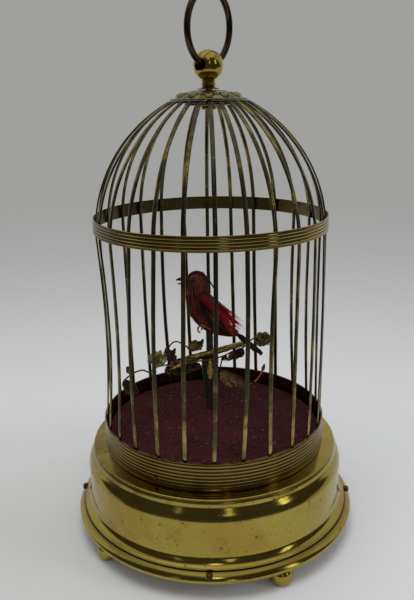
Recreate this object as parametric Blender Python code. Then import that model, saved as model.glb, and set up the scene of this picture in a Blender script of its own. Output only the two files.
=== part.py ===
"""Singing bird automaton: a feathered bird in a domed brass cage, on a drum base that holds its movement.

Units are metres and +Z is up. The origin is on the floor, under the axis of the cage. The front is -Y.
"""

import math

import bmesh
import bpy
from mathutils import Vector

# Fits
GAP = 0.0003            # left between two pieces that rest on each other
RUN = 0.0003            # radial clearance of a pin or rod in its bore
TOOTH_PLAY = 0.0004     # each gear tooth is thinner than its space by this much

# Smoothness: twice the number of bars, so each bar meets the rings at a like place
RING_SIDES = 52

# Feet and flange
FOOT_RADIUS = 0.00595
FOOT_HEIGHT = 0.0105
FOOT_INSET = 0.0071              # from the flange's rim to each foot's centre
FOOT_ANGLES = (27.5, 117.0, 214.0, 306.0)       # round from the front towards +X, set by eye by the maker
FLANGE_SHOW = 0.0034             # how far the flange shows round the drum's foot
FLANGE_RIM = 0.0025
FLANGE_THICKNESS = 0.0049
PLATE_SEAT = 0.0040              # how far the bottom plate rests on the flange
SCREW_RADIUS = 0.0016
SCREW_HEIGHT = 0.0007
SCREW_FIRST_ANGLE = -2.4

# Drum of the base, from its foot up
DRUM_FOOT_LIP = 0.0003
DRUM_FOOT_THICKNESS = 0.0013
COVE_RADIUS = 0.0033
WALL_HEIGHT = 0.0194
DRUM_RADIUS = 0.0704
SHOULDER_HEIGHT = 0.0063
SHOULDER_STEP = 0.0026           # how much narrower the drum is above its shoulder
LEDGE_BAND = 0.0041
LEDGE_STEP = 0.0005
LEDGE_LIP = 0.0006
DRUM_WALL = 0.0009
DRUM_TOP_HOLE = 0.0020

# Cage
RING_INSET = 0.00694             # from the ledge's rim to the ring's outside
RING_WALL = 0.00086
RING_HEIGHT = 0.0150
RING_REEDS = 7
REED_DEPTH = 0.00035
BAND_WALL = 0.0006
BAND_HEIGHT = 0.0073
BAND_REEDS = 4
BAND_RISE = 0.1028
FLOOR_THICKNESS = 0.0077
BARS = 26
BAR_WIDTH = 0.0021
BAR_THICKNESS = 0.0009
BAR_TWIST = 1.9         # how far round each bar has moved at the band, in degrees
# How far each bar has been bent towards +X at half height, in bend units, from the front bar on by the right
BEND_UNIT = 0.0010
BAR_BENDS = (0.4, 1.0, -0.8, 0.0, 0.5, 0.7, 0.2, -0.4, -0.9, -1.1, 0.0, -0.2, 0.0,
             -0.7, 0.0, -1.2, -0.4, 0.0, 0.5, 0.3, 2.2, 2.4, 1.4, -1.1, -1.0, -0.4)
DOME_ARC = 0.0732
DOME_SPRING_DROP = 0.0023
BAR_TAB_END = 0.0102

# Top fittings
ROSETTE_RADIUS = 0.01895
ROSETTE_RIM = 0.0008
ROSETTE_DOME = 0.0039
ROSETTE_LAND = 0.0058
ROSETTE_LOBES = 12
ROSETTE_RELIEF = 0.0004
CLAMP_RADIUS = 0.0120
CLAMP_THICKNESS = 0.0010
NUT_RADIUS = 0.00375
NUT_HEIGHT = 0.0021
STUD_RADIUS = 0.0015
STUD_END = 0.0009
COLLAR_RADIUS = 0.0055
NECK_RADIUS = 0.00335
NECK_HEIGHT = 0.0038
BALL_RADIUS = 0.00735
PULL_RING_RADIUS = 0.0169
PULL_RING_WIRE = 0.00165
PULL_RING_TURN = 53.5
PULL_RING_LEAN = 3.0

# Bird's post, perch and push rod
POST_PLACE = Vector((-0.0016, 0.0160, 0.0))
POST_FOOT_RADIUS = 0.0023
POST_SHOULDER_RADIUS = 0.0050
POST_NECK_RADIUS = 0.0021
POST_HEIGHT = 0.0486
ROD_RADIUS = 0.0009
ROD_IN_BIRD = 0.0040
ROD_TRAVEL = 0.0024
PERCH_RADIUS = 0.0021
PERCH_TIP_RADIUS = 0.0016
PERCH_HEIGHT = 0.0359
PERCH_TURN = 35.9
PERCH_LEFT = 0.0182
PERCH_RIGHT = 0.0206

# Bird, measured from the top of its post
BODY_WIDTH = 0.0062
BODY_DEPTH = 0.0064
NECK_RISE = 0.0223
NECK_SHIFT = -0.0066
HEAD_RADIUS = 0.0060
HEAD_RISE = 0.0104
NECK_PIN_RADIUS = 0.0010
NECK_PIN_LENGTH = 0.0035
BEAK_LENGTH = 0.0056
BEAK_WIDTH = 0.0018
BEAK_RISE = 0.0061
BEAK_OPENING = 1.0
BEAK_KNUCKLE = 0.0007
TAIL_SHIFT = 0.0154
TAIL_DROP = 0.0036
TAIL_KNUCKLE = 0.0010
TAIL_LENGTH = 0.0188
TAIL_WIDTH = 0.0042
TAIL_THICKNESS = 0.0020
TAIL_SLOPE = 40.0
WING_LENGTH = 0.0240
WING_WIDTH = 0.0096
WING_THICKNESS = 0.0034
TUFT_LENGTH = 0.0270
TUFT_WIDTH = 0.0030

# Movement plates
BOTTOM_PLATE_PLAY = 0.0035       # between its rim and the drum's wall
BOTTOM_PLATE_THICKNESS = 0.0010
PLATE_THICKNESS = 0.0014
PLATE_LEFT = -0.0460
PLATE_RIGHT = 0.0460
PLATE_FRONT = -0.0360
PLATE_BACK = 0.0400
PLATE_CORNER = 0.0060
PILLAR_RADIUS = 0.0024
PILLAR_INSET = 0.0050
MOVEMENT_HEADROOM = 0.0030

# Wheels
ARBOR_RADIUS = 0.0012
GREAT_MODULE = 0.0010
GREAT_TEETH = 36
CAM_PINION_LEAVES = 9
GREAT_THICKNESS = 0.0020
CAM_MODULE = 0.0007
CAM_TEETH = 48
GOVERNOR_LEAVES = 8
CAM_WHEEL_THICKNESS = 0.0016
WHEEL_GAP = 0.0010
CAM_TRACK_RADIUS = 0.0142
CAM_TRACK_WALL = 0.0030
CAM_TRACK_HEIGHT = 0.0040
SONG_CAM_RADIUS = 0.0095
SONG_CAM_WAVE = 0.0012
SONG_CAM_THICKNESS = 0.0020
BARREL_WALL_RADIUS = 0.0160
CAM_DIRECTION = 210.0
BARREL_DIRECTION = 250.0
GOVERNOR_DIRECTION = 120.0
FLY_RADIUS = 0.0090
FLY_HEIGHT = 0.0080
FLY_THICKNESS = 0.0010
END_SHAKE = 0.0008

# Winding key
KEY_ARBOR_RADIUS = 0.0022
KEY_SHANK_RADIUS = 0.0032
KEY_CLEARANCE = 0.0015
KEY_WING_SPAN = 0.0210
KEY_WING_HEIGHT = 0.0100
KEY_WING_THICKNESS = 0.0016

# Bellows and whistle
CHEST_LEFT = 0.0080
CHEST_LENGTH = 0.0380
CHEST_FRONT = -0.0280
CHEST_DEPTH = 0.0300
CHEST_HEIGHT = 0.0056
LEATHER_HEIGHT = 0.0066
LEATHER_FOLD = 0.0012
BOARD_THICKNESS = 0.0016
WHISTLE_RADIUS = 0.0035
WHISTLE_BORE = 0.0024
WHISTLE_START = 0.0060
PISTON_ROD_RADIUS = 0.0008
PISTON_LENGTH = 0.0040

# Start and stop lever
LEVER_PLACE = Vector((-0.0080, 0.0440, 0.0))
LEVER_PIN_RADIUS = 0.0020
LEVER_WIDTH = 0.0050
LEVER_THICKNESS = 0.0012
LEVER_INSET = 0.0054             # the handle's end stays this far inside the flange's rim
LEVER_DIRECTION = 83.0
LEVER_STEP_PLAY = 0.0060         # from the step in the handle to the flange's opening
BRAKE_REACH = 0.0130

# Flower spray, whose places are drawn in spray units from the perch
SPRAY_ACROSS = 58.0     # spray units from the cage's axis to the edge of its floor
WIRE_RADIUS = 0.0005
FLOWER_RADIUS = 0.0045
LEAF_THICKNESS = 0.0007
CATKIN_LENGTH = 0.0110
CATKIN_RADIUS = 0.0016

# Radii of the base and the cage, from the drum's wall out and in
DRUM_FOOT_RADIUS = DRUM_RADIUS + COVE_RADIUS + DRUM_FOOT_LIP
FLANGE_RADIUS = DRUM_FOOT_RADIUS + FLANGE_SHOW
FOOT_CIRCLE = FLANGE_RADIUS - FOOT_INSET
SHOULDER_RADIUS = DRUM_RADIUS - SHOULDER_STEP
LEDGE_RADIUS = SHOULDER_RADIUS - LEDGE_STEP
RING_RADIUS = LEDGE_RADIUS - RING_INSET

# Levels of the base and the cage, from the floor up
FLANGE_BOTTOM = FOOT_HEIGHT + GAP
FLANGE_TOP = FLANGE_BOTTOM + FLANGE_THICKNESS
DRUM_BOTTOM = FLANGE_TOP + GAP
COVE_BOTTOM = DRUM_BOTTOM + DRUM_FOOT_THICKNESS
WALL_BOTTOM = COVE_BOTTOM + COVE_RADIUS
WALL_TOP = WALL_BOTTOM + WALL_HEIGHT
SHOULDER_TOP = WALL_TOP + SHOULDER_HEIGHT
DRUM_TOP = SHOULDER_TOP + LEDGE_BAND
CAGE_BOTTOM = DRUM_TOP + GAP
RING_TOP = CAGE_BOTTOM + RING_HEIGHT
FLOOR_TOP = CAGE_BOTTOM + FLOOR_THICKNESS
BAND_BOTTOM = RING_TOP + BAND_RISE
CAGE_BORE = RING_RADIUS - RING_WALL
BAR_FACE = CAGE_BORE - GAP
FLOOR_RADIUS = BAR_FACE - BAR_THICKNESS - GAP
SPRAY_UNIT = FLOOR_RADIUS / SPRAY_ACROSS

# Levels of the top fittings
TAB_START = ROSETTE_RADIUS + BAR_THICKNESS
DOME_SPRING = BAND_BOTTOM - DOME_SPRING_DROP
DOME_CENTRE = BAR_FACE - DOME_ARC
TAB_TOP = DOME_SPRING + math.sqrt(DOME_ARC ** 2 - (TAB_START - DOME_CENTRE) ** 2)
ROSETTE_BOTTOM = TAB_TOP + GAP
ROSETTE_TOP = ROSETTE_BOTTOM + ROSETTE_RIM + ROSETTE_DOME
CLAMP_TOP = TAB_TOP - BAR_THICKNESS - GAP
NUT_BOTTOM = CLAMP_TOP - CLAMP_THICKNESS - NUT_HEIGHT
FINIAL_BOTTOM = ROSETTE_TOP + GAP
BALL_CENTRE = FINIAL_BOTTOM + NECK_HEIGHT + BALL_RADIUS
PULL_AXIS = Vector((math.cos(math.radians(PULL_RING_TURN)), math.sin(math.radians(PULL_RING_TURN)), 0.0))

# The bottom plate and the levels of the movement
BOTTOM_PLATE_RADIUS = DRUM_RADIUS - DRUM_WALL - BOTTOM_PLATE_PLAY
FLANGE_OPENING = BOTTOM_PLATE_RADIUS - PLATE_SEAT
BOTTOM_PLATE_BOTTOM = FLANGE_TOP + GAP
BOTTOM_PLATE_TOP = BOTTOM_PLATE_BOTTOM + BOTTOM_PLATE_THICKNESS
LOWER_PLATE_BOTTOM = BOTTOM_PLATE_TOP + GAP
LOWER_PLATE_TOP = LOWER_PLATE_BOTTOM + PLATE_THICKNESS
UPPER_PLATE_BOTTOM = DRUM_TOP - DRUM_WALL - MOVEMENT_HEADROOM - PLATE_THICKNESS
UPPER_PLATE_TOP = UPPER_PLATE_BOTTOM + PLATE_THICKNESS
WHISTLE_AXIS_HEIGHT = UPPER_PLATE_BOTTOM - GAP - WHISTLE_RADIUS
WHISTLE_LENGTH = CHEST_LEFT + CHEST_LENGTH - WHISTLE_START
SONG_CAM_TOP = WHISTLE_AXIS_HEIGHT + SONG_CAM_THICKNESS / 2
SONG_CAM_BOTTOM = WHISTLE_AXIS_HEIGHT - SONG_CAM_THICKNESS / 2
TRACK_TOP = WHISTLE_AXIS_HEIGHT - max(SONG_CAM_THICKNESS / 2, PISTON_ROD_RADIUS) - GAP
CAM_WHEEL_TOP = TRACK_TOP - CAM_TRACK_HEIGHT
CAM_WHEEL_BOTTOM = CAM_WHEEL_TOP - CAM_WHEEL_THICKNESS
GREAT_TOP = CAM_WHEEL_BOTTOM - WHEEL_GAP
GREAT_BOTTOM = GREAT_TOP - GREAT_THICKNESS
LEVER_REACH = FLANGE_RADIUS - LEVER_PLACE.y - LEVER_INSET
LEVER_STEP_AT = FLANGE_OPENING - LEVER_PLACE.y - LEVER_STEP_PLAY

# Places of the movement's arbors
GREAT_RADIUS = GREAT_MODULE * GREAT_TEETH / 2
CAM_PINION_RADIUS = GREAT_MODULE * CAM_PINION_LEAVES / 2
CAM_RADIUS = CAM_MODULE * CAM_TEETH / 2
GOVERNOR_RADIUS = CAM_MODULE * GOVERNOR_LEAVES / 2


def polar(radius, degrees):
    """A point at this radius, this many degrees round from +X."""
    turn = math.radians(degrees)
    return Vector((radius * math.cos(turn), radius * math.sin(turn), 0.0))


def from_front(radius, degrees):
    """A point at this radius, this many degrees round from the front towards +X."""
    return polar(radius, degrees - 90)


CAM_PLACE = POST_PLACE + polar(CAM_TRACK_RADIUS, CAM_DIRECTION)
BARREL_PLACE = CAM_PLACE + polar(GREAT_RADIUS + CAM_PINION_RADIUS, BARREL_DIRECTION)
GOVERNOR_PLACE = CAM_PLACE + polar(CAM_RADIUS + GOVERNOR_RADIUS, GOVERNOR_DIRECTION)


# Scene, finishes and mesh helpers

def clear_scene():
    for thing in list(bpy.data.objects):
        bpy.data.objects.remove(thing)


def finish(name, colour, metallic, roughness):
    made = bpy.data.materials.new(name)
    made.use_nodes = True
    shader = made.node_tree.nodes["Principled BSDF"]
    shader.inputs["Base Color"].default_value = (*colour, 1.0)
    shader.inputs["Metallic"].default_value = metallic
    shader.inputs["Roughness"].default_value = roughness
    made.diffuse_color = (*colour, 1.0)
    return made


def polished_brass(name):
    return finish(name, (0.62, 0.45, 0.16), 1.0, 0.22)


def aged_brass(name):
    return finish(name, (0.34, 0.26, 0.11), 1.0, 0.38)


def movement_brass(name):
    return finish(name, (0.66, 0.50, 0.24), 1.0, 0.35)


def steel(name):
    return finish(name, (0.45, 0.46, 0.48), 1.0, 0.35)


def place_piece(name, shape, look, pivot=(0.0, 0.0, 0.0)):
    """Turns a finished shape, drawn in world space, into an object with its origin at the pivot."""
    bmesh.ops.translate(shape, vec=-Vector(pivot), verts=shape.verts)
    bmesh.ops.recalc_face_normals(shape, faces=shape.faces)
    mesh = bpy.data.meshes.new(name)
    shape.to_mesh(mesh)
    shape.free()
    mesh.shade_smooth()
    mesh.set_sharp_from_angle(angle=math.radians(35))
    if look:
        mesh.materials.append(look)
    piece = bpy.data.objects.new(name, mesh)
    piece.location = pivot
    bpy.context.scene.collection.objects.link(piece)
    return piece


def turned_shape(profile, sides, centre):
    """A closed outline of (radius, height) spun about a vertical axis."""
    shape = bmesh.new()
    line = [shape.verts.new((centre[0] + radius, centre[1], height)) for radius, height in profile]
    edges = []
    for index, point in enumerate(line):
        after = line[(index + 1) % len(line)]
        if max(point.co.x, after.co.x) > centre[0]:
            edges.append(shape.edges.new((point, after)))
    bmesh.ops.spin(shape, geom=line + edges, cent=(centre[0], centre[1], 0.0), axis=(0.0, 0.0, 1.0),
                   angle=math.tau, steps=sides, use_merge=True)
    bmesh.ops.remove_doubles(shape, verts=shape.verts, dist=1e-6)
    return shape


def turned(name, profile, look, sides=RING_SIDES, centre=(0.0, 0.0), pivot=(0.0, 0.0, 0.0)):
    return place_piece(name, turned_shape(profile, sides, centre), look, pivot)


def cylinder(name, place, radius, low, high, look=None, sides=16, pivot=(0.0, 0.0, 0.0)):
    profile = [(0.0, low), (radius, low), (radius, high), (0.0, high)]
    return turned(name, profile, look, sides, place, pivot)


def prism(name, outline, low, high, look=None, pivot=(0.0, 0.0, 0.0)):
    """A flat outline of (x, y) points extruded from one level to another."""
    shape = bmesh.new()
    flat = shape.faces.new([shape.verts.new((x, y, low)) for x, y in outline])
    raised = bmesh.ops.extrude_face_region(shape, geom=[flat], use_keep_orig=True)
    moved = [part for part in raised["geom"] if isinstance(part, bmesh.types.BMVert)]
    bmesh.ops.translate(shape, vec=(0.0, 0.0, high - low), verts=moved)
    return place_piece(name, shape, look, pivot)


def block(name, low, high, look=None, pivot=(0.0, 0.0, 0.0)):
    """A box between two corners."""
    outline = [(low[0], low[1]), (high[0], low[1]), (high[0], high[1]), (low[0], high[1])]
    return prism(name, outline, low[2], high[2], look, pivot)


def loft(name, rings, look=None, pivot=(0.0, 0.0, 0.0), closed=False):
    """A skin over rings of points, with flat ends unless the last ring meets the first."""
    shape = bmesh.new()
    placed = [[shape.verts.new(point) for point in ring] for ring in rings]
    followers = placed[1:] + placed[:1] if closed else placed[1:]
    for ring, after in zip(placed, followers):
        for side in range(len(ring)):
            following = (side + 1) % len(ring)
            shape.faces.new((ring[side], ring[following], after[following], after[side]))
    if not closed:
        shape.faces.new(placed[0])
        shape.faces.new(placed[-1])
    return place_piece(name, shape, look, pivot)


def rod(name, route, radii, look=None, sides=8, pivot=(0.0, 0.0, 0.0)):
    """A round rod along a route, with a radius at each of its points."""
    rings = []
    across = None
    for index, point in enumerate(route):
        before = route[max(index - 1, 0)]
        after = route[min(index + 1, len(route) - 1)]
        along = (Vector(after) - Vector(before)).normalized()
        if across is None:
            across = along.cross(Vector((0, 0, 1)) if abs(along.z) < 0.9 else Vector((1, 0, 0)))
        across = (across - along * across.dot(along)).normalized()
        other = along.cross(across)
        turns = [math.tau * side / sides for side in range(sides)]
        offsets = [across * math.cos(turn) + other * math.sin(turn) for turn in turns]
        rings.append([Vector(point) + offset * radii[index] for offset in offsets])
    return loft(name, rings, look, pivot)


def use_as_tool(tool):
    tool.hide_render = True
    tool.display_type = "WIRE"


def combine(piece, tool, operation):
    use_as_tool(tool)
    modifier = piece.modifiers.new(tool.name, "BOOLEAN")
    modifier.operation = operation
    modifier.object = tool
    modifier.solver = "EXACT"


def cut(piece, tool):
    combine(piece, tool, "DIFFERENCE")


def unite(piece, tool):
    combine(piece, tool, "UNION")


def drill(piece, place, radius, low, high, sides=16):
    cut(piece, cylinder(piece.name + "_drill", place, radius, low, high, sides=sides))


def arc(centre, radius, start, end, steps):
    """Points (radius, height) along an arc, from one angle to another in degrees."""
    found = []
    for step in range(steps + 1):
        turn = math.radians(start + (end - start) * step / steps)
        found.append((centre[0] + radius * math.cos(turn), centre[1] + radius * math.sin(turn)))
    return found


def rounded_plate(left, front, right, back, corner):
    """The outline of a plate with round corners."""
    corners = (((right - corner, back - corner), 0), ((left + corner, back - corner), 90),
               ((left + corner, front + corner), 180), ((right - corner, front + corner), 270))
    outline = []
    for centre, start in corners:
        outline += arc(centre, corner, start, start + 90, 3)
    return outline


# Base

def make_feet():
    profile = [(0.0, 0.0), (0.55 * FOOT_RADIUS, 0.0), (0.92 * FOOT_RADIUS, 0.24 * FOOT_HEIGHT),
               (FOOT_RADIUS, 0.48 * FOOT_HEIGHT), (0.86 * FOOT_RADIUS, 0.76 * FOOT_HEIGHT),
               (0.60 * FOOT_RADIUS, 0.90 * FOOT_HEIGHT), (0.60 * FOOT_RADIUS, FOOT_HEIGHT),
               (0.0, FOOT_HEIGHT)]
    for number, angle in enumerate(FOOT_ANGLES):
        look = polished_brass(f"foot_brass_{number + 1}")
        turned(f"foot_{number + 1}", profile, look, 16, from_front(FOOT_CIRCLE, angle))


def make_flange():
    flat = DRUM_FOOT_RADIUS + GAP
    rim_top = FLANGE_BOTTOM + FLANGE_RIM
    profile = [(FLANGE_OPENING, FLANGE_BOTTOM), (FLANGE_RADIUS, FLANGE_BOTTOM), (FLANGE_RADIUS, rim_top),
               ((flat + FLANGE_RADIUS) / 2, (FLANGE_TOP + rim_top) / 2 + FLANGE_THICKNESS * 0.1),
               (flat, FLANGE_TOP), (FLANGE_OPENING, FLANGE_TOP)]
    flange = turned("base_flange", profile, polished_brass("flange_brass"))
    screw_circle = (flat + FLANGE_RADIUS) / 2
    for number in range(4):
        place = from_front(screw_circle, SCREW_FIRST_ANGLE + 90 * number)
        head = cylinder(f"screw_head_{number + 1}", place, SCREW_RADIUS, rim_top,
                        FLANGE_TOP + SCREW_HEIGHT, sides=12)
        unite(flange, head)


def make_drum():
    cove_centre = (DRUM_RADIUS + COVE_RADIUS, WALL_BOTTOM)
    inner_top = DRUM_TOP - DRUM_WALL
    profile = [(0.0, DRUM_TOP), (LEDGE_RADIUS - LEDGE_LIP, DRUM_TOP), (LEDGE_RADIUS, DRUM_TOP - LEDGE_LIP),
               (SHOULDER_RADIUS, SHOULDER_TOP),
               (0.3 * SHOULDER_RADIUS + 0.7 * DRUM_RADIUS, (SHOULDER_TOP + WALL_TOP) / 2),
               (DRUM_RADIUS, WALL_TOP)]
    profile += arc(cove_centre, COVE_RADIUS, 180, 250, 2)
    profile += [(DRUM_FOOT_RADIUS, COVE_BOTTOM), (DRUM_FOOT_RADIUS, DRUM_BOTTOM),
                (DRUM_RADIUS - DRUM_WALL, DRUM_BOTTOM), (DRUM_RADIUS - DRUM_WALL, WALL_TOP),
                (SHOULDER_RADIUS - DRUM_WALL, SHOULDER_TOP), (LEDGE_RADIUS - DRUM_WALL, inner_top),
                (0.0, inner_top)]
    drum = turned("base_drum", profile, polished_brass("drum_brass"))
    drill(drum, POST_PLACE, DRUM_TOP_HOLE, inner_top - GAP, DRUM_TOP + GAP)


def make_bottom_plate():
    profile = [(0.0, BOTTOM_PLATE_BOTTOM), (BOTTOM_PLATE_RADIUS, BOTTOM_PLATE_BOTTOM),
               (BOTTOM_PLATE_RADIUS, BOTTOM_PLATE_TOP), (0.0, BOTTOM_PLATE_TOP)]
    plate = turned("bottom_plate", profile, movement_brass("bottom_plate_brass"))
    below = BOTTOM_PLATE_BOTTOM - GAP
    above = BOTTOM_PLATE_TOP + GAP
    drill(plate, BARREL_PLACE, KEY_ARBOR_RADIUS + RUN, below, above)
    drill(plate, LEVER_PLACE, LEVER_PIN_RADIUS + RUN, below, above)


# Cage

def reeded_profile(bore, wall, low, high, reeds):
    """A thin ring's outline with a row of reeds on its outside, between two plain lips."""
    crest = bore + wall
    lip = (high - low) / (2 * reeds + 4)
    pitch = (high - low - 2 * lip) / reeds
    profile = [(bore, high), (crest, high), (crest, high - lip)]
    for reed in range(reeds):
        valley = high - lip - reed * pitch
        profile.append((crest - REED_DEPTH, valley - 0.12 * pitch))
        profile.append((crest, valley - 0.5 * pitch))
    profile += [(crest - REED_DEPTH, low + lip + 0.12 * pitch), (crest, low + lip), (crest, low), (bore, low)]
    return profile


def make_cage_rings():
    ring = reeded_profile(CAGE_BORE, RING_WALL, CAGE_BOTTOM, RING_TOP, RING_REEDS)
    turned("cage_ring", ring, polished_brass("cage_ring_brass"))
    band = reeded_profile(CAGE_BORE, BAND_WALL, BAND_BOTTOM, BAND_BOTTOM + BAND_HEIGHT, BAND_REEDS)
    turned("cage_band", band, aged_brass("cage_band_brass"))


def make_cage_floor():
    pile = 0.1 * FLOOR_THICKNESS
    profile = [(0.0, CAGE_BOTTOM), (FLOOR_RADIUS, CAGE_BOTTOM), (FLOOR_RADIUS, FLOOR_TOP - pile),
               (FLOOR_RADIUS - pile, FLOOR_TOP), (0.0, FLOOR_TOP)]
    velvet = finish("wine_velvet", (0.115, 0.012, 0.02), 0.0, 0.95)
    floor = turned("cage_floor", profile, velvet)
    drill(floor, POST_PLACE, ROD_RADIUS + RUN, CAGE_BOTTOM - GAP, FLOOR_TOP + GAP, 12)


def bar_stations():
    """The bar's outer face as (radius, height, share of the bend, share of the twist), from foot to tab."""
    stations = [(BAR_FACE, CAGE_BOTTOM, 0.0, 0.0)]
    straight = 4
    for step in range(straight + 1):
        share = step / straight
        height = RING_TOP + (DOME_SPRING - RING_TOP) * share
        stations.append((BAR_FACE, height, math.sin(math.pi * share), share))
    lowest = 0.0
    highest = math.degrees(math.acos((TAB_START - DOME_CENTRE) / DOME_ARC))
    for radius, height in arc((DOME_CENTRE, DOME_SPRING), DOME_ARC, lowest, highest, 6)[1:]:
        stations.append((radius, height, 0.0, 1.0))
    stations.append((BAR_TAB_END, TAB_TOP, 0.0, 1.0))
    return stations


def make_bar(number, stations):
    """A flat strip from the drum, up inside both rings, over the dome and in under the rosette."""
    base_turn = 360 * number / BARS
    bend = Vector((BAR_BENDS[number % len(BAR_BENDS)] * BEND_UNIT, 0.0, 0.0))
    rings = []
    for index, (radius, height, bend_share, twist_share) in enumerate(stations):
        turn = base_turn + BAR_TWIST * twist_share
        outward = from_front(1.0, turn)
        sideways = from_front(1.0, turn + 90)
        before = stations[max(index - 1, 0)]
        after = stations[min(index + 1, len(stations) - 1)]
        rise = Vector((after[0] - before[0], after[1] - before[1])).normalized()
        inward = outward * -rise.y + Vector((0, 0, rise.x))
        face = outward * radius + Vector((0, 0, height)) + bend * bend_share
        half = sideways * (BAR_WIDTH / 2)
        back = face + inward * BAR_THICKNESS
        rings.append([face - half, face + half, back + half, back - half])
    loft(f"cage_bar_{number + 1:02d}", rings, aged_brass(f"bar_brass_{number + 1:02d}"))


def make_bars():
    stations = bar_stations()
    for number in range(BARS):
        make_bar(number, stations)


# Top fittings

def make_rosette():
    rim_top = ROSETTE_BOTTOM + ROSETTE_RIM
    bore = STUD_RADIUS + RUN
    span = ROSETTE_RADIUS - ROSETTE_LAND
    rise = ROSETTE_TOP - rim_top
    profile = [(bore, ROSETTE_BOTTOM), (ROSETTE_RADIUS, ROSETTE_BOTTOM), (ROSETTE_RADIUS, rim_top),
               (ROSETTE_RADIUS - 0.14 * span, rim_top), (ROSETTE_RADIUS - 0.24 * span, rim_top + 0.38 * rise),
               (ROSETTE_RADIUS - 0.48 * span, rim_top + 0.72 * rise),
               (ROSETTE_LAND, ROSETTE_TOP), (bore, ROSETTE_TOP)]
    shape = turned_shape(profile, 4 * ROSETTE_LOBES, (0.0, 0.0))
    for point in shape.verts:
        if rim_top + 0.1 * rise < point.co.z < ROSETTE_TOP - 0.1 * rise:
            lobe = math.atan2(point.co.y, point.co.x) * ROSETTE_LOBES
            point.co.z += ROSETTE_RELIEF * math.cos(lobe)
    place_piece("rosette", shape, aged_brass("rosette_brass"))


def make_hub_nut():
    bore = STUD_RADIUS + RUN
    clamp_bottom = CLAMP_TOP - CLAMP_THICKNESS
    profile = [(bore, CLAMP_TOP), (CLAMP_RADIUS, CLAMP_TOP), (CLAMP_RADIUS, clamp_bottom),
               (NUT_RADIUS, clamp_bottom), (NUT_RADIUS, NUT_BOTTOM + 0.2 * NUT_HEIGHT),
               (0.85 * NUT_RADIUS, NUT_BOTTOM), (bore, NUT_BOTTOM)]
    turned("hub_nut", profile, aged_brass("hub_nut_brass"), 24)


def make_finial():
    neck_top_turn = math.degrees(math.asin(NECK_RADIUS / BALL_RADIUS)) - 90
    ball = arc((0.0, BALL_CENTRE), BALL_RADIUS, neck_top_turn, 90, 8)
    stud_bottom = NUT_BOTTOM + STUD_END
    profile = [(0.0, stud_bottom), (STUD_RADIUS, stud_bottom), (STUD_RADIUS, FINIAL_BOTTOM),
               (COLLAR_RADIUS, FINIAL_BOTTOM), (COLLAR_RADIUS, FINIAL_BOTTOM + 0.14 * NECK_HEIGHT),
               (1.2 * NECK_RADIUS, FINIAL_BOTTOM + 0.22 * NECK_HEIGHT),
               (0.9 * NECK_RADIUS, FINIAL_BOTTOM + 0.40 * NECK_HEIGHT),
               (NECK_RADIUS, FINIAL_BOTTOM + 0.52 * NECK_HEIGHT)]
    profile += ball[:-1] + [(0.0, BALL_CENTRE + BALL_RADIUS)]
    finial = turned("finial", profile, polished_brass("finial_brass"), 20)
    cut(finial, ring_bore())


def ring_bore():
    """The finial's cross bore, which flares to each mouth so that the curved ring can swing in it."""
    steps = 4
    half = 1.2 * BALL_RADIUS
    route = []
    radii = []
    for step in range(-steps, steps + 1):
        along = half * step / steps
        route.append(Vector((0, 0, BALL_CENTRE)) + PULL_AXIS * along)
        sagitta = PULL_RING_RADIUS - math.sqrt(PULL_RING_RADIUS ** 2 - along ** 2)
        radii.append(PULL_RING_WIRE + RUN + sagitta)
    return rod("ring_bore", route, radii, sides=12)


def make_pull_ring():
    segments = 32
    sides = 8
    lean = math.radians(PULL_RING_LEAN)
    across = PULL_AXIS.cross(Vector((0, 0, 1)))
    upright = Vector((0, 0, 1)) * math.cos(lean) + across * math.sin(lean)
    across = PULL_AXIS.cross(upright)
    middle = Vector((0, 0, BALL_CENTRE)) + upright * PULL_RING_RADIUS
    rings = []
    for segment in range(segments):
        turn = math.tau * (segment + 0.5) / segments
        outward = PULL_AXIS * math.sin(turn) - upright * math.cos(turn)
        place = middle + outward * PULL_RING_RADIUS
        wire_turns = [math.tau * side / sides for side in range(sides)]
        offsets = [outward * math.cos(around) + across * math.sin(around) for around in wire_turns]
        rings.append([place + offset * PULL_RING_WIRE for offset in offsets])
    loft("pull_ring", rings, polished_brass("pull_ring_brass"), (0.0, 0.0, BALL_CENTRE), closed=True)


# Bird, post and perch

POST_BOTTOM = FLOOR_TOP + GAP
POST_TOP = POST_BOTTOM + POST_HEIGHT
ROD_TOP = POST_TOP + ROD_IN_BIRD
PERCH_LEVEL = POST_BOTTOM + PERCH_HEIGHT
SHOULDER_LEVEL = PERCH_LEVEL - PERCH_RADIUS - GAP


def above_post(across, rise, depth=0.0):
    """A point measured from the top of the post: across in X, up in Z and back in Y."""
    return POST_PLACE + Vector((across, depth, POST_TOP + rise))


def make_post():
    """A dark post that widens to a shoulder, with a thinner neck above it, round the push rod."""
    bark = finish("dark_post", (0.02, 0.017, 0.013), 0.0, 0.7)
    bore = ROD_RADIUS + RUN
    flare = SHOULDER_LEVEL - POST_BOTTOM
    profile = [(bore, POST_BOTTOM), (POST_FOOT_RADIUS, POST_BOTTOM),
               (0.45 * POST_FOOT_RADIUS + 0.55 * POST_SHOULDER_RADIUS, POST_BOTTOM + 0.45 * flare),
               (POST_SHOULDER_RADIUS, POST_BOTTOM + 0.9 * flare),
               (0.7 * POST_SHOULDER_RADIUS + 0.3 * POST_NECK_RADIUS, SHOULDER_LEVEL),
               (POST_NECK_RADIUS, SHOULDER_LEVEL), (POST_NECK_RADIUS, POST_TOP), (bore, POST_TOP)]
    turned("bird_post", profile, bark, 14, POST_PLACE)


def make_push_rod():
    rod_bottom = TRACK_TOP + GAP
    cylinder("push_rod", POST_PLACE, ROD_RADIUS, rod_bottom, ROD_TOP, steel("push_rod_steel"), 10,
             POST_PLACE + Vector((0, 0, rod_bottom)))


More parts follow.
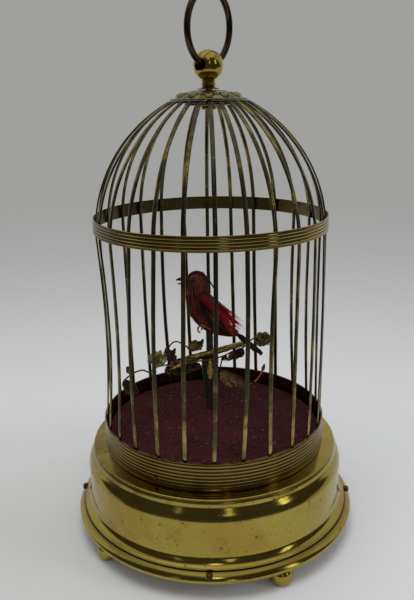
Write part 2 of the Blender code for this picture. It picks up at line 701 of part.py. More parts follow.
PERCH_ALONG = polar(1.0, PERCH_TURN)
PERCH_FRONT = polar(1.0, PERCH_TURN - 90)
PERCH_MIDDLE = (POST_PLACE + PERCH_FRONT * (POST_NECK_RADIUS + PERCH_RADIUS + GAP)
                + Vector((0, 0, PERCH_LEVEL)))


def by_perch(along, front, rise):
    """A point measured in spray units from where the perch passes the post."""
    return PERCH_MIDDLE + (PERCH_ALONG * along + PERCH_FRONT * front + Vector((0, 0, rise))) * SPRAY_UNIT


def make_perch():
    route = [PERCH_MIDDLE - PERCH_ALONG * PERCH_LEFT, PERCH_MIDDLE,
             PERCH_MIDDLE + PERCH_ALONG * (0.6 * PERCH_RIGHT), PERCH_MIDDLE + PERCH_ALONG * PERCH_RIGHT]
    radii = [PERCH_RADIUS, PERCH_RADIUS, PERCH_RADIUS, PERCH_TIP_RADIUS]
    rod("perch", route, radii, finish("gilt_perch", (0.40, 0.28, 0.10), 0.7, 0.4), 12)


def bird_ring(centre, along, thick, wide, sides):
    """Points of an oval section of the bird, square to its spine in the XZ plane."""
    up = Vector((-along.z, 0.0, along.x))
    ring = []
    for side in range(sides):
        turn = math.tau * side / sides
        ring.append(centre + up * (thick * math.cos(turn)) + Vector((0.0, wide * math.sin(turn), 0.0)))
    return ring


def along_back(share):
    """How far across a point is that lies this share of the way from the neck to the tail."""
    return NECK_SHIFT + (TAIL_SHIFT - NECK_SHIFT) * share


def make_bird_body():
    sides = 14
    neck_middle = above_post(NECK_SHIFT, NECK_RISE)
    feathers = finish("rust_feathers", (0.10, 0.014, 0.010), 0.0, 0.85)
    # Across, rise, half thickness and half width of each section, and the slope of the spine there in degrees
    sections = ((NECK_SHIFT, NECK_RISE, 1.03 * HEAD_RADIUS, 0.95 * BODY_WIDTH, -90),
                (along_back(0.059), 0.73 * NECK_RISE, 1.12 * BODY_DEPTH, BODY_WIDTH, -84),
                (along_back(0.182), 0.42 * NECK_RISE, 1.14 * BODY_DEPTH, BODY_WIDTH, -64),
                (along_back(0.418), 0.16 * NECK_RISE, 0.98 * BODY_DEPTH, 0.85 * BODY_WIDTH, -48),
                (along_back(0.709), -0.04 * NECK_RISE, 0.62 * BODY_DEPTH, 0.58 * BODY_WIDTH, -40),
                (TAIL_SHIFT, -TAIL_DROP, 0.24 * BODY_DEPTH, 0.30 * BODY_WIDTH, -40))
    rings = []
    for across, rise, thick, wide, slope in sections:
        along = polar(1.0, slope)
        rings.append(bird_ring(above_post(across, rise), Vector((along.x, 0, along.y)), thick, wide, sides))
    body = loft("bird_body", rings, feathers)
    for side in (-1, 1):
        unite(body, wing(side))
    unite(body, tuft())
    cut(body, cylinder("post_seat", POST_PLACE, POST_NECK_RADIUS + 2 * GAP,
                       POST_TOP - 2 * BODY_DEPTH, POST_TOP + GAP, sides=16))
    cut(body, cylinder("rod_bore", POST_PLACE, ROD_RADIUS + RUN, POST_TOP,
                       ROD_TOP + ROD_TRAVEL + GAP, sides=10))
    drill(body, neck_middle, NECK_PIN_RADIUS + RUN, neck_middle.z - NECK_PIN_LENGTH - GAP,
          neck_middle.z + GAP, 10)
    half = Vector((0.0, BODY_WIDTH, 0.0))
    notch_radius = TAIL_KNUCKLE + RUN + GAP
    cut(body, rod("tail_notch", [tail_root() - half, tail_root() + half], [notch_radius] * 2, sides=12))


def tail_root():
    return above_post(TAIL_SHIFT, -TAIL_DROP)


def tuft():
    """The long bright feathers that lie along the back and stand clear of the rump."""
    start = above_post(along_back(0.386), 0.66 * NECK_RISE)
    slope = polar(TUFT_LENGTH, -43)
    end = start + Vector((slope.x, 0.0, slope.y))
    rise = Vector((0.7, 0.0, 0.7))
    rings = []
    # Share of the length, of the width and of the thickness, and how far it sags in widths, at each section
    sections = ((0.0, 0.5, 0.5, 0.0), (0.4, 1.0, 1.0, -0.4), (0.8, 0.9, 0.7, -0.27), (1.0, 0.3, 0.3, 0.0))
    for share, wide, thick, sag in sections:
        middle = start.lerp(end, share) + rise * (sag * TUFT_WIDTH)
        side = Vector((0.0, wide * TUFT_WIDTH / 2, 0.0))
        lift = rise * (thick * TUFT_WIDTH / 4)
        rings.append([middle - side, middle - lift, middle + side, middle + lift])
    return loft("tuft", rings)


def wing(side):
    """A folded wing as a flat tapered lobe on one flank."""
    start = above_post(along_back(0.045), 0.72 * NECK_RISE, side * 0.72 * BODY_WIDTH)
    end = start + Vector((0.70 * WING_LENGTH, -side * 0.62 * BODY_WIDTH, -0.66 * WING_LENGTH))
    route = [start.lerp(end, share) for share in (0.0, 0.2, 0.5, 0.8, 1.0)]
    along = (end - start).normalized()
    outward = Vector((0.0, side, 0.0))
    outward = (outward - along * outward.dot(along)).normalized()
    down = along.cross(outward)
    rings = []
    for place, share in zip(route, (0.35, 0.85, 1.0, 0.6, 0.18)):
        turns = [math.tau * corner / 8 for corner in range(8)]
        rings.append([place + down * (share * WING_WIDTH / 2 * math.cos(turn))
                      + outward * (share * WING_THICKNESS / 2 * math.sin(turn)) for turn in turns])
    return loft(f"wing_{side}", rings)


def make_bird_head():
    low = above_post(NECK_SHIFT, NECK_RISE + GAP)
    ball = low.z + HEAD_RISE - HEAD_RADIUS
    profile = [(0.0, low.z), (0.96 * HEAD_RADIUS, low.z)]
    profile += arc((0.0, ball), HEAD_RADIUS, 0, 90, 5)[:-1] + [(0.0, ball + HEAD_RADIUS)]
    look = finish("black_cap", (0.06, 0.012, 0.01), 0.0, 0.8)
    head = turned("bird_head", profile, look, 18, low, low)
    pin_bottom = low.z - NECK_PIN_LENGTH
    unite(head, cylinder("neck_pin", low, NECK_PIN_RADIUS, pin_bottom, low.z + NECK_PIN_RADIUS, sides=10))
    root = low + Vector((-0.86 * HEAD_RADIUS, 0.0, BEAK_RISE))
    tip = root + Vector((-BEAK_LENGTH - 0.14 * HEAD_RADIUS, 0.0, 0.035 * BEAK_LENGTH))
    unite(head, rod("upper_beak", [root, root.lerp(tip, 0.55), tip],
                    [BEAK_WIDTH * 0.6, BEAK_WIDTH * 0.42, BEAK_WIDTH * 0.08], sides=8))
    jaw = beak_pivot()
    half = Vector((0.0, HEAD_RADIUS, 0.0))
    cut(head, rod("jaw_notch", [jaw - half, jaw + half], [BEAK_KNUCKLE + RUN] * 2, sides=12))


def beak_pivot():
    """The jaw's hinge, at the front of the head under the upper beak."""
    low = above_post(NECK_SHIFT, NECK_RISE + GAP)
    drop = 0.6 * BEAK_WIDTH + BEAK_KNUCKLE + RUN
    return low + Vector((-HEAD_RADIUS, 0.0, BEAK_RISE - drop))


def make_lower_beak():
    jaw = beak_pivot()
    half = Vector((0.0, 0.45 * BEAK_WIDTH, 0.0))
    horn = finish("lower_beak_horn", (0.015, 0.013, 0.012), 0.0, 0.45)
    knuckle = rod("bird_lower_beak", [jaw - half, jaw + half], [BEAK_KNUCKLE] * 2, horn, 12, jaw)
    along = polar(1.0, 180 + BEAK_OPENING)
    tip = jaw + Vector((along.x, 0.0, along.y)) * (0.86 * BEAK_LENGTH)
    unite(knuckle, rod("lower_beak_blade", [jaw, jaw.lerp(tip, 0.5), tip],
                       [BEAK_KNUCKLE * 0.9, BEAK_KNUCKLE * 0.7, BEAK_KNUCKLE * 0.25], sides=8))


def make_tail():
    root = tail_root()
    slope = polar(1.0, -TAIL_SLOPE)
    along = Vector((slope.x, 0.0, slope.y))
    up = Vector((-along.z, 0.0, along.x))
    tail_feathers = finish("black_tail", (0.012, 0.012, 0.014), 0.0, 0.6)
    half = Vector((0.0, 0.28 * TAIL_WIDTH, 0.0))
    knuckle = rod("bird_tail", [root - half, root + half], [TAIL_KNUCKLE] * 2, tail_feathers, 12, root)
    rings = []
    # Share of the length, of the width and of the thickness at each section
    sections = ((0.0, 0.5, 1.0), (0.3, 0.7, 1.0), (0.75, 1.0, 0.8), (0.95, 0.85, 0.6), (1.0, 0.5, 0.5))
    for share, width, thick in sections:
        place = root + along * (share * TAIL_LENGTH)
        side = Vector((0.0, width * TAIL_WIDTH / 2, 0.0))
        lift = up * (thick * TAIL_THICKNESS / 2)
        rings.append([place - side - lift, place + side - lift, place + side + lift, place - side + lift])
    unite(knuckle, loft("tail_blade", rings))


# Flower spray wired under the perch

def leaf(name, base, tip, width, droop):
    """A pointed leaf as a thin folded blade from its base to its tip."""
    along = tip - base
    across = along.cross(Vector((0, 0, 1)))
    if across.length < 0.2 * along.length:
        across = along.cross(Vector((0, 1, 0)))
    across.normalize()
    normal = across.cross(along).normalized()
    rings = []
    for share, spread in ((0.0, 0.12), (0.25, 0.75), (0.55, 1.0), (0.82, 0.6), (1.0, 0.1)):
        middle = base + along * share + normal * (droop * math.sin(math.pi * share))
        side = across * (width * spread / 2)
        lift = normal * (LEAF_THICKNESS / 2)
        rings.append([middle - side - lift, middle + side - lift, middle + side + lift, middle - side + lift])
    return loft(name, rings)


def flower(name, centre):
    """A tattered flower as a lobed ball."""
    sides = 12
    rows = ((-90, 0.0), (-45, 1.0), (0, 1.0), (45, 1.0), (90, 0.0))
    profile = [(0.0 if not spread else FLOWER_RADIUS * math.cos(math.radians(turn)),
                centre.z + 0.8 * FLOWER_RADIUS * math.sin(math.radians(turn))) for turn, spread in rows]
    shape = turned_shape(profile, sides, centre)
    for point in shape.verts:
        outward = Vector((point.co.x - centre.x, point.co.y - centre.y, 0.0))
        petal = math.cos(math.atan2(outward.y, outward.x) * sides / 2)
        point.co += outward * (0.12 * petal)
    return place_piece(name, shape, None)


def make_flower_spray():
    """A wired garland that hangs on the perch, with two flowers, leaves and a catkin."""
    under = -(PERCH_RADIUS + GAP + WIRE_RADIUS) / SPRAY_UNIT
    past_shoulder = POST_SHOULDER_RADIUS + WIRE_RADIUS + 2 * GAP
    clear_front = (past_shoulder - POST_NECK_RADIUS - PERCH_RADIUS - GAP) / SPRAY_UNIT
    left_flower = by_perch(-35.9, -3.0, 4.1)
    right_flower = by_perch(33.7, 2.9, 1.3)
    route = [by_perch(-54.0, -9.0, -6.5), by_perch(-49.0, -7.5, -3.0), by_perch(-43.7, -6.2, -2.0),
             by_perch(-39.6, -5.2, -4.0), by_perch(-36.0, -4.0, -1.5), by_perch(-29.0, -2.6, -1.4),
             by_perch(-22.0, -1.0, under), by_perch(-12.0, 0.6, under),
             by_perch(-5.0, clear_front, under - 0.6), by_perch(5.0, clear_front, under - 0.6),
             by_perch(12.0, 0.8, under), by_perch(20.0, 0.0, under),
             by_perch(27.2, 0.7, 1.6), right_flower]
    look = finish("faded_spray", (0.10, 0.075, 0.03), 0.0, 0.85)
    spray = rod("flower_spray", route, [WIRE_RADIUS] * len(route), look, 6)
    unite(spray, rod("left_stem", [route[4], left_flower], [WIRE_RADIUS] * 2, sides=6))
    unite(spray, flower("left_flower", left_flower))
    unite(spray, flower("right_flower", right_flower))
    unite(spray, rod("hoop", [route[5], by_perch(-28.5, -3.0, 8.0), by_perch(-24.6, -2.6, 11.0),
                              by_perch(-19.0, -4.0, 8.0), by_perch(-13.6, -4.6, 3.0),
                              by_perch(-14.5, -3.4, -2.4), route[7]], [WIRE_RADIUS] * 7, sides=6))
    unite(spray, rod("leaf_stem", [route[9], by_perch(2.2, 2.8, -12.3)], [WIRE_RADIUS] * 2, sides=6))
    unite(spray, rod("curl", [by_perch(6.5, 7.9, -17.7), by_perch(16.5, 10.2, -20.9),
                              by_perch(23.0, 10.8, -19.0), by_perch(27.8, 11.0, -12.3)],
                     [WIRE_RADIUS] * 4, sides=6))
    first_leaf = route[0] + Vector((WIRE_RADIUS, 0.0, 0.0))
    # Name, base, tip, and width and droop in spray units, of each leaf
    leaves = (("outer_leaf", first_leaf, by_perch(-47.6, -6.2, -15.0), 9.0, 0.0),
              ("spiky_leaf", by_perch(-28.8, -2.8, 1.0), by_perch(-29.8, -3.6, 9.2), 6.0, 0.0),
              ("middle_leaf", by_perch(-14.2, -4.5, 3.2), by_perch(-6.4, -2.4, 6.6), 6.0, 0.0),
              ("left_cluster", route[5], by_perch(-21.0, -2.0, -7.5), 9.0, 0.0),
              ("right_cluster", route[6], by_perch(-9.5, -0.5, -6.5), 7.5, -0.5),
              ("perch_frill", by_perch(19.0, 0.4, under), by_perch(10.0, 2.8, -6.5), 6.0, 0.0),
              ("big_leaf", by_perch(2.0, 2.7, -12.0), by_perch(10.8, 12.0, -22.0), 11.0, 1.2))
    for name, base, tip, width, droop in leaves:
        unite(spray, leaf(name, base, tip, width * SPRAY_UNIT, droop * SPRAY_UNIT))
    hung = (route[8] + route[9]) / 2 - PERCH_ALONG * (4.8 * SPRAY_UNIT)
    drops = (-WIRE_RADIUS, 0.25 * CATKIN_LENGTH, 0.7 * CATKIN_LENGTH, CATKIN_LENGTH)
    swell = (0.4 * CATKIN_RADIUS, 0.85 * CATKIN_RADIUS, CATKIN_RADIUS, 0.3 * CATKIN_RADIUS)
    unite(spray, rod("catkin", [hung - Vector((0, 0, drop)) for drop in drops], swell, sides=8))


# Movement

def gear_outline(teeth, module, centre, start):
    """A gear's outline, four points to a tooth with near-involute flanks, one tooth at the start angle."""
    pitch_radius = module * teeth / 2
    pressure = math.radians(25)
    base_radius = pitch_radius * math.cos(pressure)
    flat_share = math.tan(pressure) - pressure
    outline = []
    for tooth in range(teeth):
        middle = start + 360 * tooth / teeth
        pair = []
        for radius in (pitch_radius - 1.05 * module, pitch_radius + 0.80 * module):
            slope = math.acos(min(base_radius / radius, 1.0))
            half = (math.pi / 2 * module - TOOTH_PLAY) / 2 / pitch_radius
            half += flat_share - (math.tan(slope) - slope)
            pair.append((radius, math.degrees(half)))
        (root, root_half), (tip, tip_half) = pair
        for radius, offset in ((root, -root_half), (tip, -tip_half), (tip, tip_half), (root, root_half)):
            place = polar(radius, middle + offset)
            outline.append((centre.x + place.x, centre.y + place.y))
    return outline


def make_lower_plate():
    outline = rounded_plate(PLATE_LEFT, PLATE_FRONT, PLATE_RIGHT, PLATE_BACK, PLATE_CORNER)
    plate = prism("movement_lower_plate", outline, LOWER_PLATE_BOTTOM, LOWER_PLATE_TOP,
                  movement_brass("lower_plate_brass"))
    for number, place in enumerate(pillar_places()):
        unite(plate, cylinder(f"pillar_{number + 1}", place, PILLAR_RADIUS,
                              LOWER_PLATE_BOTTOM + PLATE_THICKNESS / 2, UPPER_PLATE_BOTTOM - GAP, sides=12))
    below = LOWER_PLATE_BOTTOM - GAP
    above = LOWER_PLATE_TOP + GAP
    drill(plate, BARREL_PLACE, KEY_ARBOR_RADIUS + RUN, below, above)
    drill(plate, CAM_PLACE, ARBOR_RADIUS + RUN, below, above, 12)
    drill(plate, GOVERNOR_PLACE, ARBOR_RADIUS + RUN, below, above, 12)


def pillar_places():
    left = PLATE_LEFT + PILLAR_INSET
    right = PLATE_RIGHT - PILLAR_INSET
    front = PLATE_FRONT + PILLAR_INSET
    back = PLATE_BACK - PILLAR_INSET
    return [Vector((x, y, 0)) for x, y in ((left, front), (right, front), (right, back), (left, back))]


def make_upper_plate():
    outline = rounded_plate(PLATE_LEFT, PLATE_FRONT, PLATE_RIGHT, PLATE_BACK, PLATE_CORNER)
    plate = prism("movement_upper_plate", outline, UPPER_PLATE_BOTTOM, UPPER_PLATE_TOP,
                  movement_brass("upper_plate_brass"))
    below = UPPER_PLATE_BOTTOM - GAP
    above = UPPER_PLATE_TOP + GAP
    drill(plate, BARREL_PLACE, KEY_ARBOR_RADIUS + RUN, below, above)
    drill(plate, CAM_PLACE, ARBOR_RADIUS + RUN, below, above, 12)
    drill(plate, GOVERNOR_PLACE, ARBOR_RADIUS + RUN, below, above, 12)
    drill(plate, POST_PLACE, ROD_RADIUS + RUN, below, above, 12)


def make_barrel():
    look = movement_brass("barrel_brass")
    pivot = BARREL_PLACE + Vector((0, 0, GREAT_BOTTOM))
    teeth = gear_outline(GREAT_TEETH, GREAT_MODULE, BARREL_PLACE, BARREL_DIRECTION - 180)
    wheel = prism("mainspring_barrel", teeth, GREAT_BOTTOM, GREAT_TOP, look, pivot)
    unite(wheel, cylinder("barrel_drum", BARREL_PLACE, BARREL_WALL_RADIUS, LOWER_PLATE_TOP + GAP,
                          (GREAT_BOTTOM + GREAT_TOP) / 2, sides=32))
    drill(wheel, BARREL_PLACE, KEY_ARBOR_RADIUS + RUN, LOWER_PLATE_BOTTOM, UPPER_PLATE_TOP)


def make_key():
    look = polished_brass("key_brass")
    pivot = BARREL_PLACE + Vector((0, 0, BOTTOM_PLATE_BOTTOM))
    shank_bottom = KEY_CLEARANCE + KEY_WING_HEIGHT / 2
    key = cylinder("winding_key", BARREL_PLACE, KEY_ARBOR_RADIUS, shank_bottom, UPPER_PLATE_TOP, look,
                   pivot=pivot)
    unite(key, cylinder("key_shank", BARREL_PLACE, KEY_SHANK_RADIUS, shank_bottom - KEY_WING_THICKNESS,
                        BOTTOM_PLATE_BOTTOM - GAP, sides=16))
    wing_half = Vector((KEY_WING_SPAN / 2, KEY_WING_THICKNESS / 2, 0))
    low = BARREL_PLACE - wing_half + Vector((0, 0, KEY_CLEARANCE))
    high = BARREL_PLACE + wing_half + Vector((0, 0, KEY_CLEARANCE + KEY_WING_HEIGHT))
    unite(key, block("key_wings", low, high))


def wavy_outline(centre, radius, wave, waves, sides):
    outline = []
    for side in range(sides):
        turn = 360 * side / sides
        place = polar(radius + wave * math.cos(math.radians(waves * turn)), turn)
        outline.append((centre.x + place.x, centre.y + place.y))
    return outline


def make_cam_wheel():
    look = movement_brass("cam_wheel_brass")
    pivot = CAM_PLACE + Vector((0, 0, CAM_WHEEL_BOTTOM))
    wheel = prism("cam_wheel", gear_outline(CAM_TEETH, CAM_MODULE, CAM_PLACE, GOVERNOR_DIRECTION),
                  CAM_WHEEL_BOTTOM, CAM_WHEEL_TOP, look, pivot)
    pinion_start = BARREL_DIRECTION + 180 / CAM_PINION_LEAVES
    unite(wheel, prism("cam_pinion", gear_outline(CAM_PINION_LEAVES, GREAT_MODULE, CAM_PLACE, pinion_start),
                       GREAT_BOTTOM, CAM_WHEEL_BOTTOM + CAM_WHEEL_THICKNESS / 2))
    inner = CAM_TRACK_RADIUS - CAM_TRACK_WALL / 2
    outer = CAM_TRACK_RADIUS + CAM_TRACK_WALL / 2
    sunk = CAM_WHEEL_TOP - CAM_WHEEL_THICKNESS / 2
    track = [(inner, sunk), (outer, sunk), (outer, TRACK_TOP), (inner, TRACK_TOP)]
    unite(wheel, turned("cam_track", track, None, 24, CAM_PLACE))
    unite(wheel, cylinder("cam_hub", CAM_PLACE, 0.4 * SONG_CAM_RADIUS, sunk, WHISTLE_AXIS_HEIGHT))
    unite(wheel, prism("song_cam", wavy_outline(CAM_PLACE, SONG_CAM_RADIUS, SONG_CAM_WAVE, 5, 30),
                       SONG_CAM_BOTTOM, SONG_CAM_TOP))
    unite(wheel, cylinder("cam_arbor", CAM_PLACE, ARBOR_RADIUS, LOWER_PLATE_BOTTOM, UPPER_PLATE_TOP,
                          sides=12))


def make_governor():
    look = steel("governor_steel")
    pivot = GOVERNOR_PLACE + Vector((0, 0, CAM_WHEEL_BOTTOM))
    arbor = cylinder("governor_fly", GOVERNOR_PLACE, ARBOR_RADIUS, LOWER_PLATE_BOTTOM, UPPER_PLATE_TOP,
                     look, 12, pivot)
    pinion_start = GOVERNOR_DIRECTION + 180 + 180 / GOVERNOR_LEAVES
    leaves = gear_outline(GOVERNOR_LEAVES, CAM_MODULE, GOVERNOR_PLACE, pinion_start)
    unite(arbor, prism("governor_pinion", leaves, CAM_WHEEL_BOTTOM - END_SHAKE, CAM_WHEEL_TOP + END_SHAKE))
    fly_top = CAM_WHEEL_BOTTOM - 2 * END_SHAKE
    half = Vector((FLY_RADIUS, FLY_THICKNESS / 2, 0))
    unite(arbor, block("fly_vane", GOVERNOR_PLACE - half + Vector((0, 0, fly_top - FLY_HEIGHT)),
                       GOVERNOR_PLACE + half + Vector((0, 0, fly_top))))


# Bellows and whistle

CHEST_TOP = UPPER_PLATE_BOTTOM - GAP
CHEST_BOTTOM = CHEST_TOP - CHEST_HEIGHT
LEATHER_TOP = CHEST_BOTTOM - GAP
BOARD_TOP = LEATHER_TOP - LEATHER_HEIGHT - GAP
CHEST_RIGHT = CHEST_LEFT + CHEST_LENGTH
CHEST_BACK = CHEST_FRONT + CHEST_DEPTH


def make_bellows_chest():
    block("bellows_chest", (CHEST_LEFT, CHEST_FRONT, CHEST_BOTTOM), (CHEST_RIGHT, CHEST_BACK, CHEST_TOP),
          finish("chest_wood", (0.30, 0.19, 0.10), 0.0, 0.6))


def make_bellows_leather():
    """The folded skin between the chest and the board, narrower at each crease."""
    inset = 2 * LEATHER_FOLD
    rows = 5
    rings = []
    for row in range(rows):
        fold = inset if row % 2 == 0 else inset - LEATHER_FOLD
        height = LEATHER_TOP - LEATHER_HEIGHT * row / (rows - 1)
        left, right = CHEST_LEFT + fold, CHEST_RIGHT - fold
        front, back = CHEST_FRONT + fold, CHEST_BACK - fold
        corners = ((left, front), (right, front), (right, back), (left, back))
        rings.append([(x, y, height) for x, y in corners])
    loft("bellows_leather", rings, finish("bellows_skin", (0.62, 0.52, 0.38), 0.0, 0.8))


def make_bellows_board():
    """The moving board, hinged along its right edge."""
    pivot = (CHEST_RIGHT, (CHEST_FRONT + CHEST_BACK) / 2, BOARD_TOP)
    low = (CHEST_LEFT, CHEST_FRONT, BOARD_TOP - BOARD_THICKNESS)
    high = (CHEST_RIGHT, CHEST_BACK, BOARD_TOP)
    block("bellows_board", low, high, finish("board_wood", (0.26, 0.16, 0.08), 0.0, 0.6), pivot)


def whistle_point(along):
    return Vector((WHISTLE_START + along, CAM_PLACE.y, WHISTLE_AXIS_HEIGHT))


def make_whistle():
    tube = rod("whistle", [whistle_point(0), whistle_point(WHISTLE_LENGTH)], [WHISTLE_RADIUS] * 2,
               movement_brass("whistle_brass"), 16)
    foot_low = (CHEST_LEFT + WHISTLE_RADIUS, CHEST_BACK + GAP, WHISTLE_AXIS_HEIGHT - WHISTLE_BORE)
    foot_high = (CHEST_RIGHT - WHISTLE_RADIUS, CAM_PLACE.y - WHISTLE_BORE,
                 WHISTLE_AXIS_HEIGHT + WHISTLE_BORE / 2)
    unite(tube, block("whistle_foot", foot_low, foot_high))
    bore_ends = [whistle_point(-GAP), whistle_point(0.85 * WHISTLE_LENGTH)]
    cut(tube, rod("whistle_bore", bore_ends, [WHISTLE_BORE] * 2, sides=16))
    mouth = whistle_point(0.78 * WHISTLE_LENGTH)
    half = Vector((WHISTLE_BORE / 2, WHISTLE_BORE / 2, 0))
    cut(tube, block("whistle_mouth", mouth - half, mouth + half + Vector((0, 0, 2 * WHISTLE_RADIUS))))


def make_piston():
    tip = whistle_point(CAM_PLACE.x + SONG_CAM_RADIUS + SONG_CAM_WAVE + RUN - WHISTLE_START)
    head_start = whistle_point(PISTON_LENGTH)
    head_end = whistle_point(2 * PISTON_LENGTH)
    step = Vector((PISTON_ROD_RADIUS / 10, 0, 0))
    rod("whistle_piston", [tip, head_start - step, head_start, head_end],
        [PISTON_ROD_RADIUS, PISTON_ROD_RADIUS, WHISTLE_BORE - RUN, WHISTLE_BORE - RUN],
        steel("piston_steel"), 16, tip)


# Start and stop lever

def make_lever():
    """A handle under the base that reaches out at the back, and a brake arm that reaches in to the fly."""
    pivot = LEVER_PLACE + Vector((0, 0, BOTTOM_PLATE_BOTTOM))
    fly_top = CAM_WHEEL_BOTTOM - 2 * END_SHAKE
    arm_high = fly_top - FLY_HEIGHT / 2
    arm_low = arm_high - LEVER_THICKNESS
    lever_top = BOTTOM_PLATE_BOTTOM - GAP
    look = steel("lever_steel")
    pin_bottom = lever_top - LEVER_THICKNESS / 2
    pin = cylinder("start_stop_lever", LEVER_PLACE, LEVER_PIN_RADIUS, pin_bottom, arm_high, look, 12, pivot)
    along = polar(1.0, LEVER_DIRECTION)
    side = Vector((-along.y, along.x, 0)) * (LEVER_WIDTH / 2)
    step = LEVER_THICKNESS
    under_flange = FLANGE_BOTTOM - GAP
    # Distance out, and the level of the top face, at each corner of the stepped handle
    stations = ((-LEVER_WIDTH / 2, lever_top), (LEVER_STEP_AT, lever_top),
                (LEVER_STEP_AT + step, under_flange), (LEVER_REACH, under_flange))
    rings = []
    for out, level in stations:
        place = LEVER_PLACE + along * out + Vector((0, 0, level))
        down = Vector((0, 0, -LEVER_THICKNESS))
        rings.append([place - side, place + side, place + side + down, place - side + down])
    unite(pin, loft("lever_handle", rings))
    to_fly = (GOVERNOR_PLACE - LEVER_PLACE).normalized()
    arm_side = Vector((-to_fly.y, to_fly.x, 0)) * LEVER_THICKNESS
    end = LEVER_PLACE + to_fly * BRAKE_REACH
    outline = [LEVER_PLACE - arm_side, end - arm_side, end + arm_side, LEVER_PLACE + arm_side]
    unite(pin, prism("brake_arm", [(point.x, point.y) for point in outline], arm_low, arm_high))


def main():
    clear_scene()
    make_feet()
    make_flange()
    make_drum()
    make_bottom_plate()
    make_cage_rings()
    make_cage_floor()
    make_bars()
    make_rosette()
    make_hub_nut()
    make_finial()
    make_pull_ring()
    make_post()
    make_push_rod()
    make_perch()
    make_bird_body()
    make_bird_head()
    make_lower_beak()
    make_tail()
    make_flower_spray()
    make_lower_plate()
    make_upper_plate()
    make_barrel()
    make_key()
    make_cam_wheel()
    make_governor()
    make_bellows_chest()
    make_bellows_leather()
    make_bellows_board()
    make_whistle()
    make_piston()
    make_lever()


main()
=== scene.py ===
"""Looks of the singing bird automaton: turned brass, wire cage, velvet, feathers and a faded flower spray."""

import math
import random

import bmesh
import bpy
from mathutils import Matrix, Vector, noise


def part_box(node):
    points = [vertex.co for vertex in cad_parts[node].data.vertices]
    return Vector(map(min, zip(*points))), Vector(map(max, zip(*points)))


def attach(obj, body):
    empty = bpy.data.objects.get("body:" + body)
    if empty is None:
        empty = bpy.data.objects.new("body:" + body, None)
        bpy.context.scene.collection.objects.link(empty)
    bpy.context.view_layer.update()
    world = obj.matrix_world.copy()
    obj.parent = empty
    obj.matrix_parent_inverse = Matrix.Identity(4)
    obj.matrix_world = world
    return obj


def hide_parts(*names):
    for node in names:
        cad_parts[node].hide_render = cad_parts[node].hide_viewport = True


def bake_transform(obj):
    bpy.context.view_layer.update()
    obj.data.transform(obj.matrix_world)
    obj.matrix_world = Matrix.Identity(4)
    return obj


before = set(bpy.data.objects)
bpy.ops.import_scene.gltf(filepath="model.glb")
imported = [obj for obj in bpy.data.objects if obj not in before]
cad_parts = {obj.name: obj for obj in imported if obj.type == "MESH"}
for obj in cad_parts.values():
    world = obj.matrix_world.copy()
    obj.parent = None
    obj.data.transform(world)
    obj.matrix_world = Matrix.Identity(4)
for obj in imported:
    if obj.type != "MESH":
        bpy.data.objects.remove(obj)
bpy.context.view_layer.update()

bl_info = {
    "name": "Singing bird automaton",
    "version": (1, 0, 0),
    "blender": (4, 5, 0),
    "location": "3D View > Sidebar > Songbird",
    "description": "Builds a feathered songbird in a domed brass cage on a turned drum base",
    "category": "Object",
}


# Sizes in millimetres and places that the solids have

FRONT = -90.0
AXIS = (0.0, 0.0)
POST = Vector((-1.6, 16.0, 0.0))
POST_TOP = 107.3
PERCH_MIDDLE = Vector((1.039, 12.355, 94.6))
PERCH_TURN = 35.9
PULL_TURN = 53.5
PULL_RADIUS = 16.9
BALL_CENTRE = Vector((0.0, 0.0, 247.55))
BALL_RADIUS = 7.35
BORE_RADIUS = 1.95
NECK = Vector((-8.2, 16.0, 130.2))
HEAD_CENTRE = Vector((-8.2, 16.0, 134.6))
TAIL_ROOT = Vector((13.8, 16.0, 103.7))
RING_LOW, RING_HIGH = 50.7, 65.7
BAND_LOW, BAND_HIGH = 168.5, 175.8
REEDED_BORE = 59.5
BOSS_CIRCLE = 14.4
BARS = 26
BAR_REACH = 59.2
BAR_TWIST = 1.9
DOME_FOOT = 166.2
DOME_MIDDLE = -14.0
DOME_RADIUS = 73.2
HUB_REACH = 19.85
TAB_REACH = 10.2

# Millimetres in a metre, and the turn in degrees that spreads feathers and petals evenly

MM = 1000
GOLDEN_TURN = 137.5

UP = Vector((0.0, 0.0, 1.0))
BLACK = (0.0, 0.0, 0.0, 1.0)
TURNED_CREASE = 32.0


def polar(radius, degrees, height=0.0):
    """A point at this radius, this many degrees round from +X."""
    turn = math.radians(degrees)
    return Vector((radius * math.cos(turn), radius * math.sin(turn), height))


def ease(value, low, high):
    """0 below low and 1 above high, with a smooth rise between."""
    share = min(max((value - low) / (high - low), 0.0), 1.0)
    return share * share * (3 - 2 * share)


def srgb(red, green, blue):
    """A colour given as it shows on a screen, 0 to 255, as scene-linear red, green, blue and alpha."""
    linear = []
    for part in (red, green, blue):
        part = part / 255
        linear.append(part / 12.92 if part <= 0.04045 else ((part + 0.055) / 1.055) ** 2.4)
    return (*linear, 1.0)


def wander(x, y, z):
    """Smooth noise at a place."""
    return noise.noise(Vector((x, y, z)))


# Settings that a user would change

def colour_setting(name, description, default):
    return bpy.props.FloatVectorProperty(name=name, description=description, subtype="COLOR", size=4, min=0.0,
                                         max=1.0, default=default)


def length_setting(name, description, default, low):
    return bpy.props.FloatProperty(name=name, description=description, default=default, min=low, max=default,
                                   subtype="DISTANCE", unit="LENGTH")


def count_setting(name, description, default, low, high):
    return bpy.props.IntProperty(name=name, description=description, default=default, min=low, max=high)


class SongbirdBrass(bpy.types.PropertyGroup):
    polished: colour_setting("Polished brass", "Reflection of the bright brass of base, ring and ball",
                             (0.425, 0.335, 0.072, 1.0))
    aged: colour_setting("Aged brass", "Reflection of the darkened brass of the cage",
                         (0.40, 0.305, 0.09, 1.0))
    # The deposit colour is also used where a piece's marks carry painted shade.
    grime: colour_setting("Grime", "Dark deposit in grooves and spots", (0.022, 0.016, 0.008, 1.0))


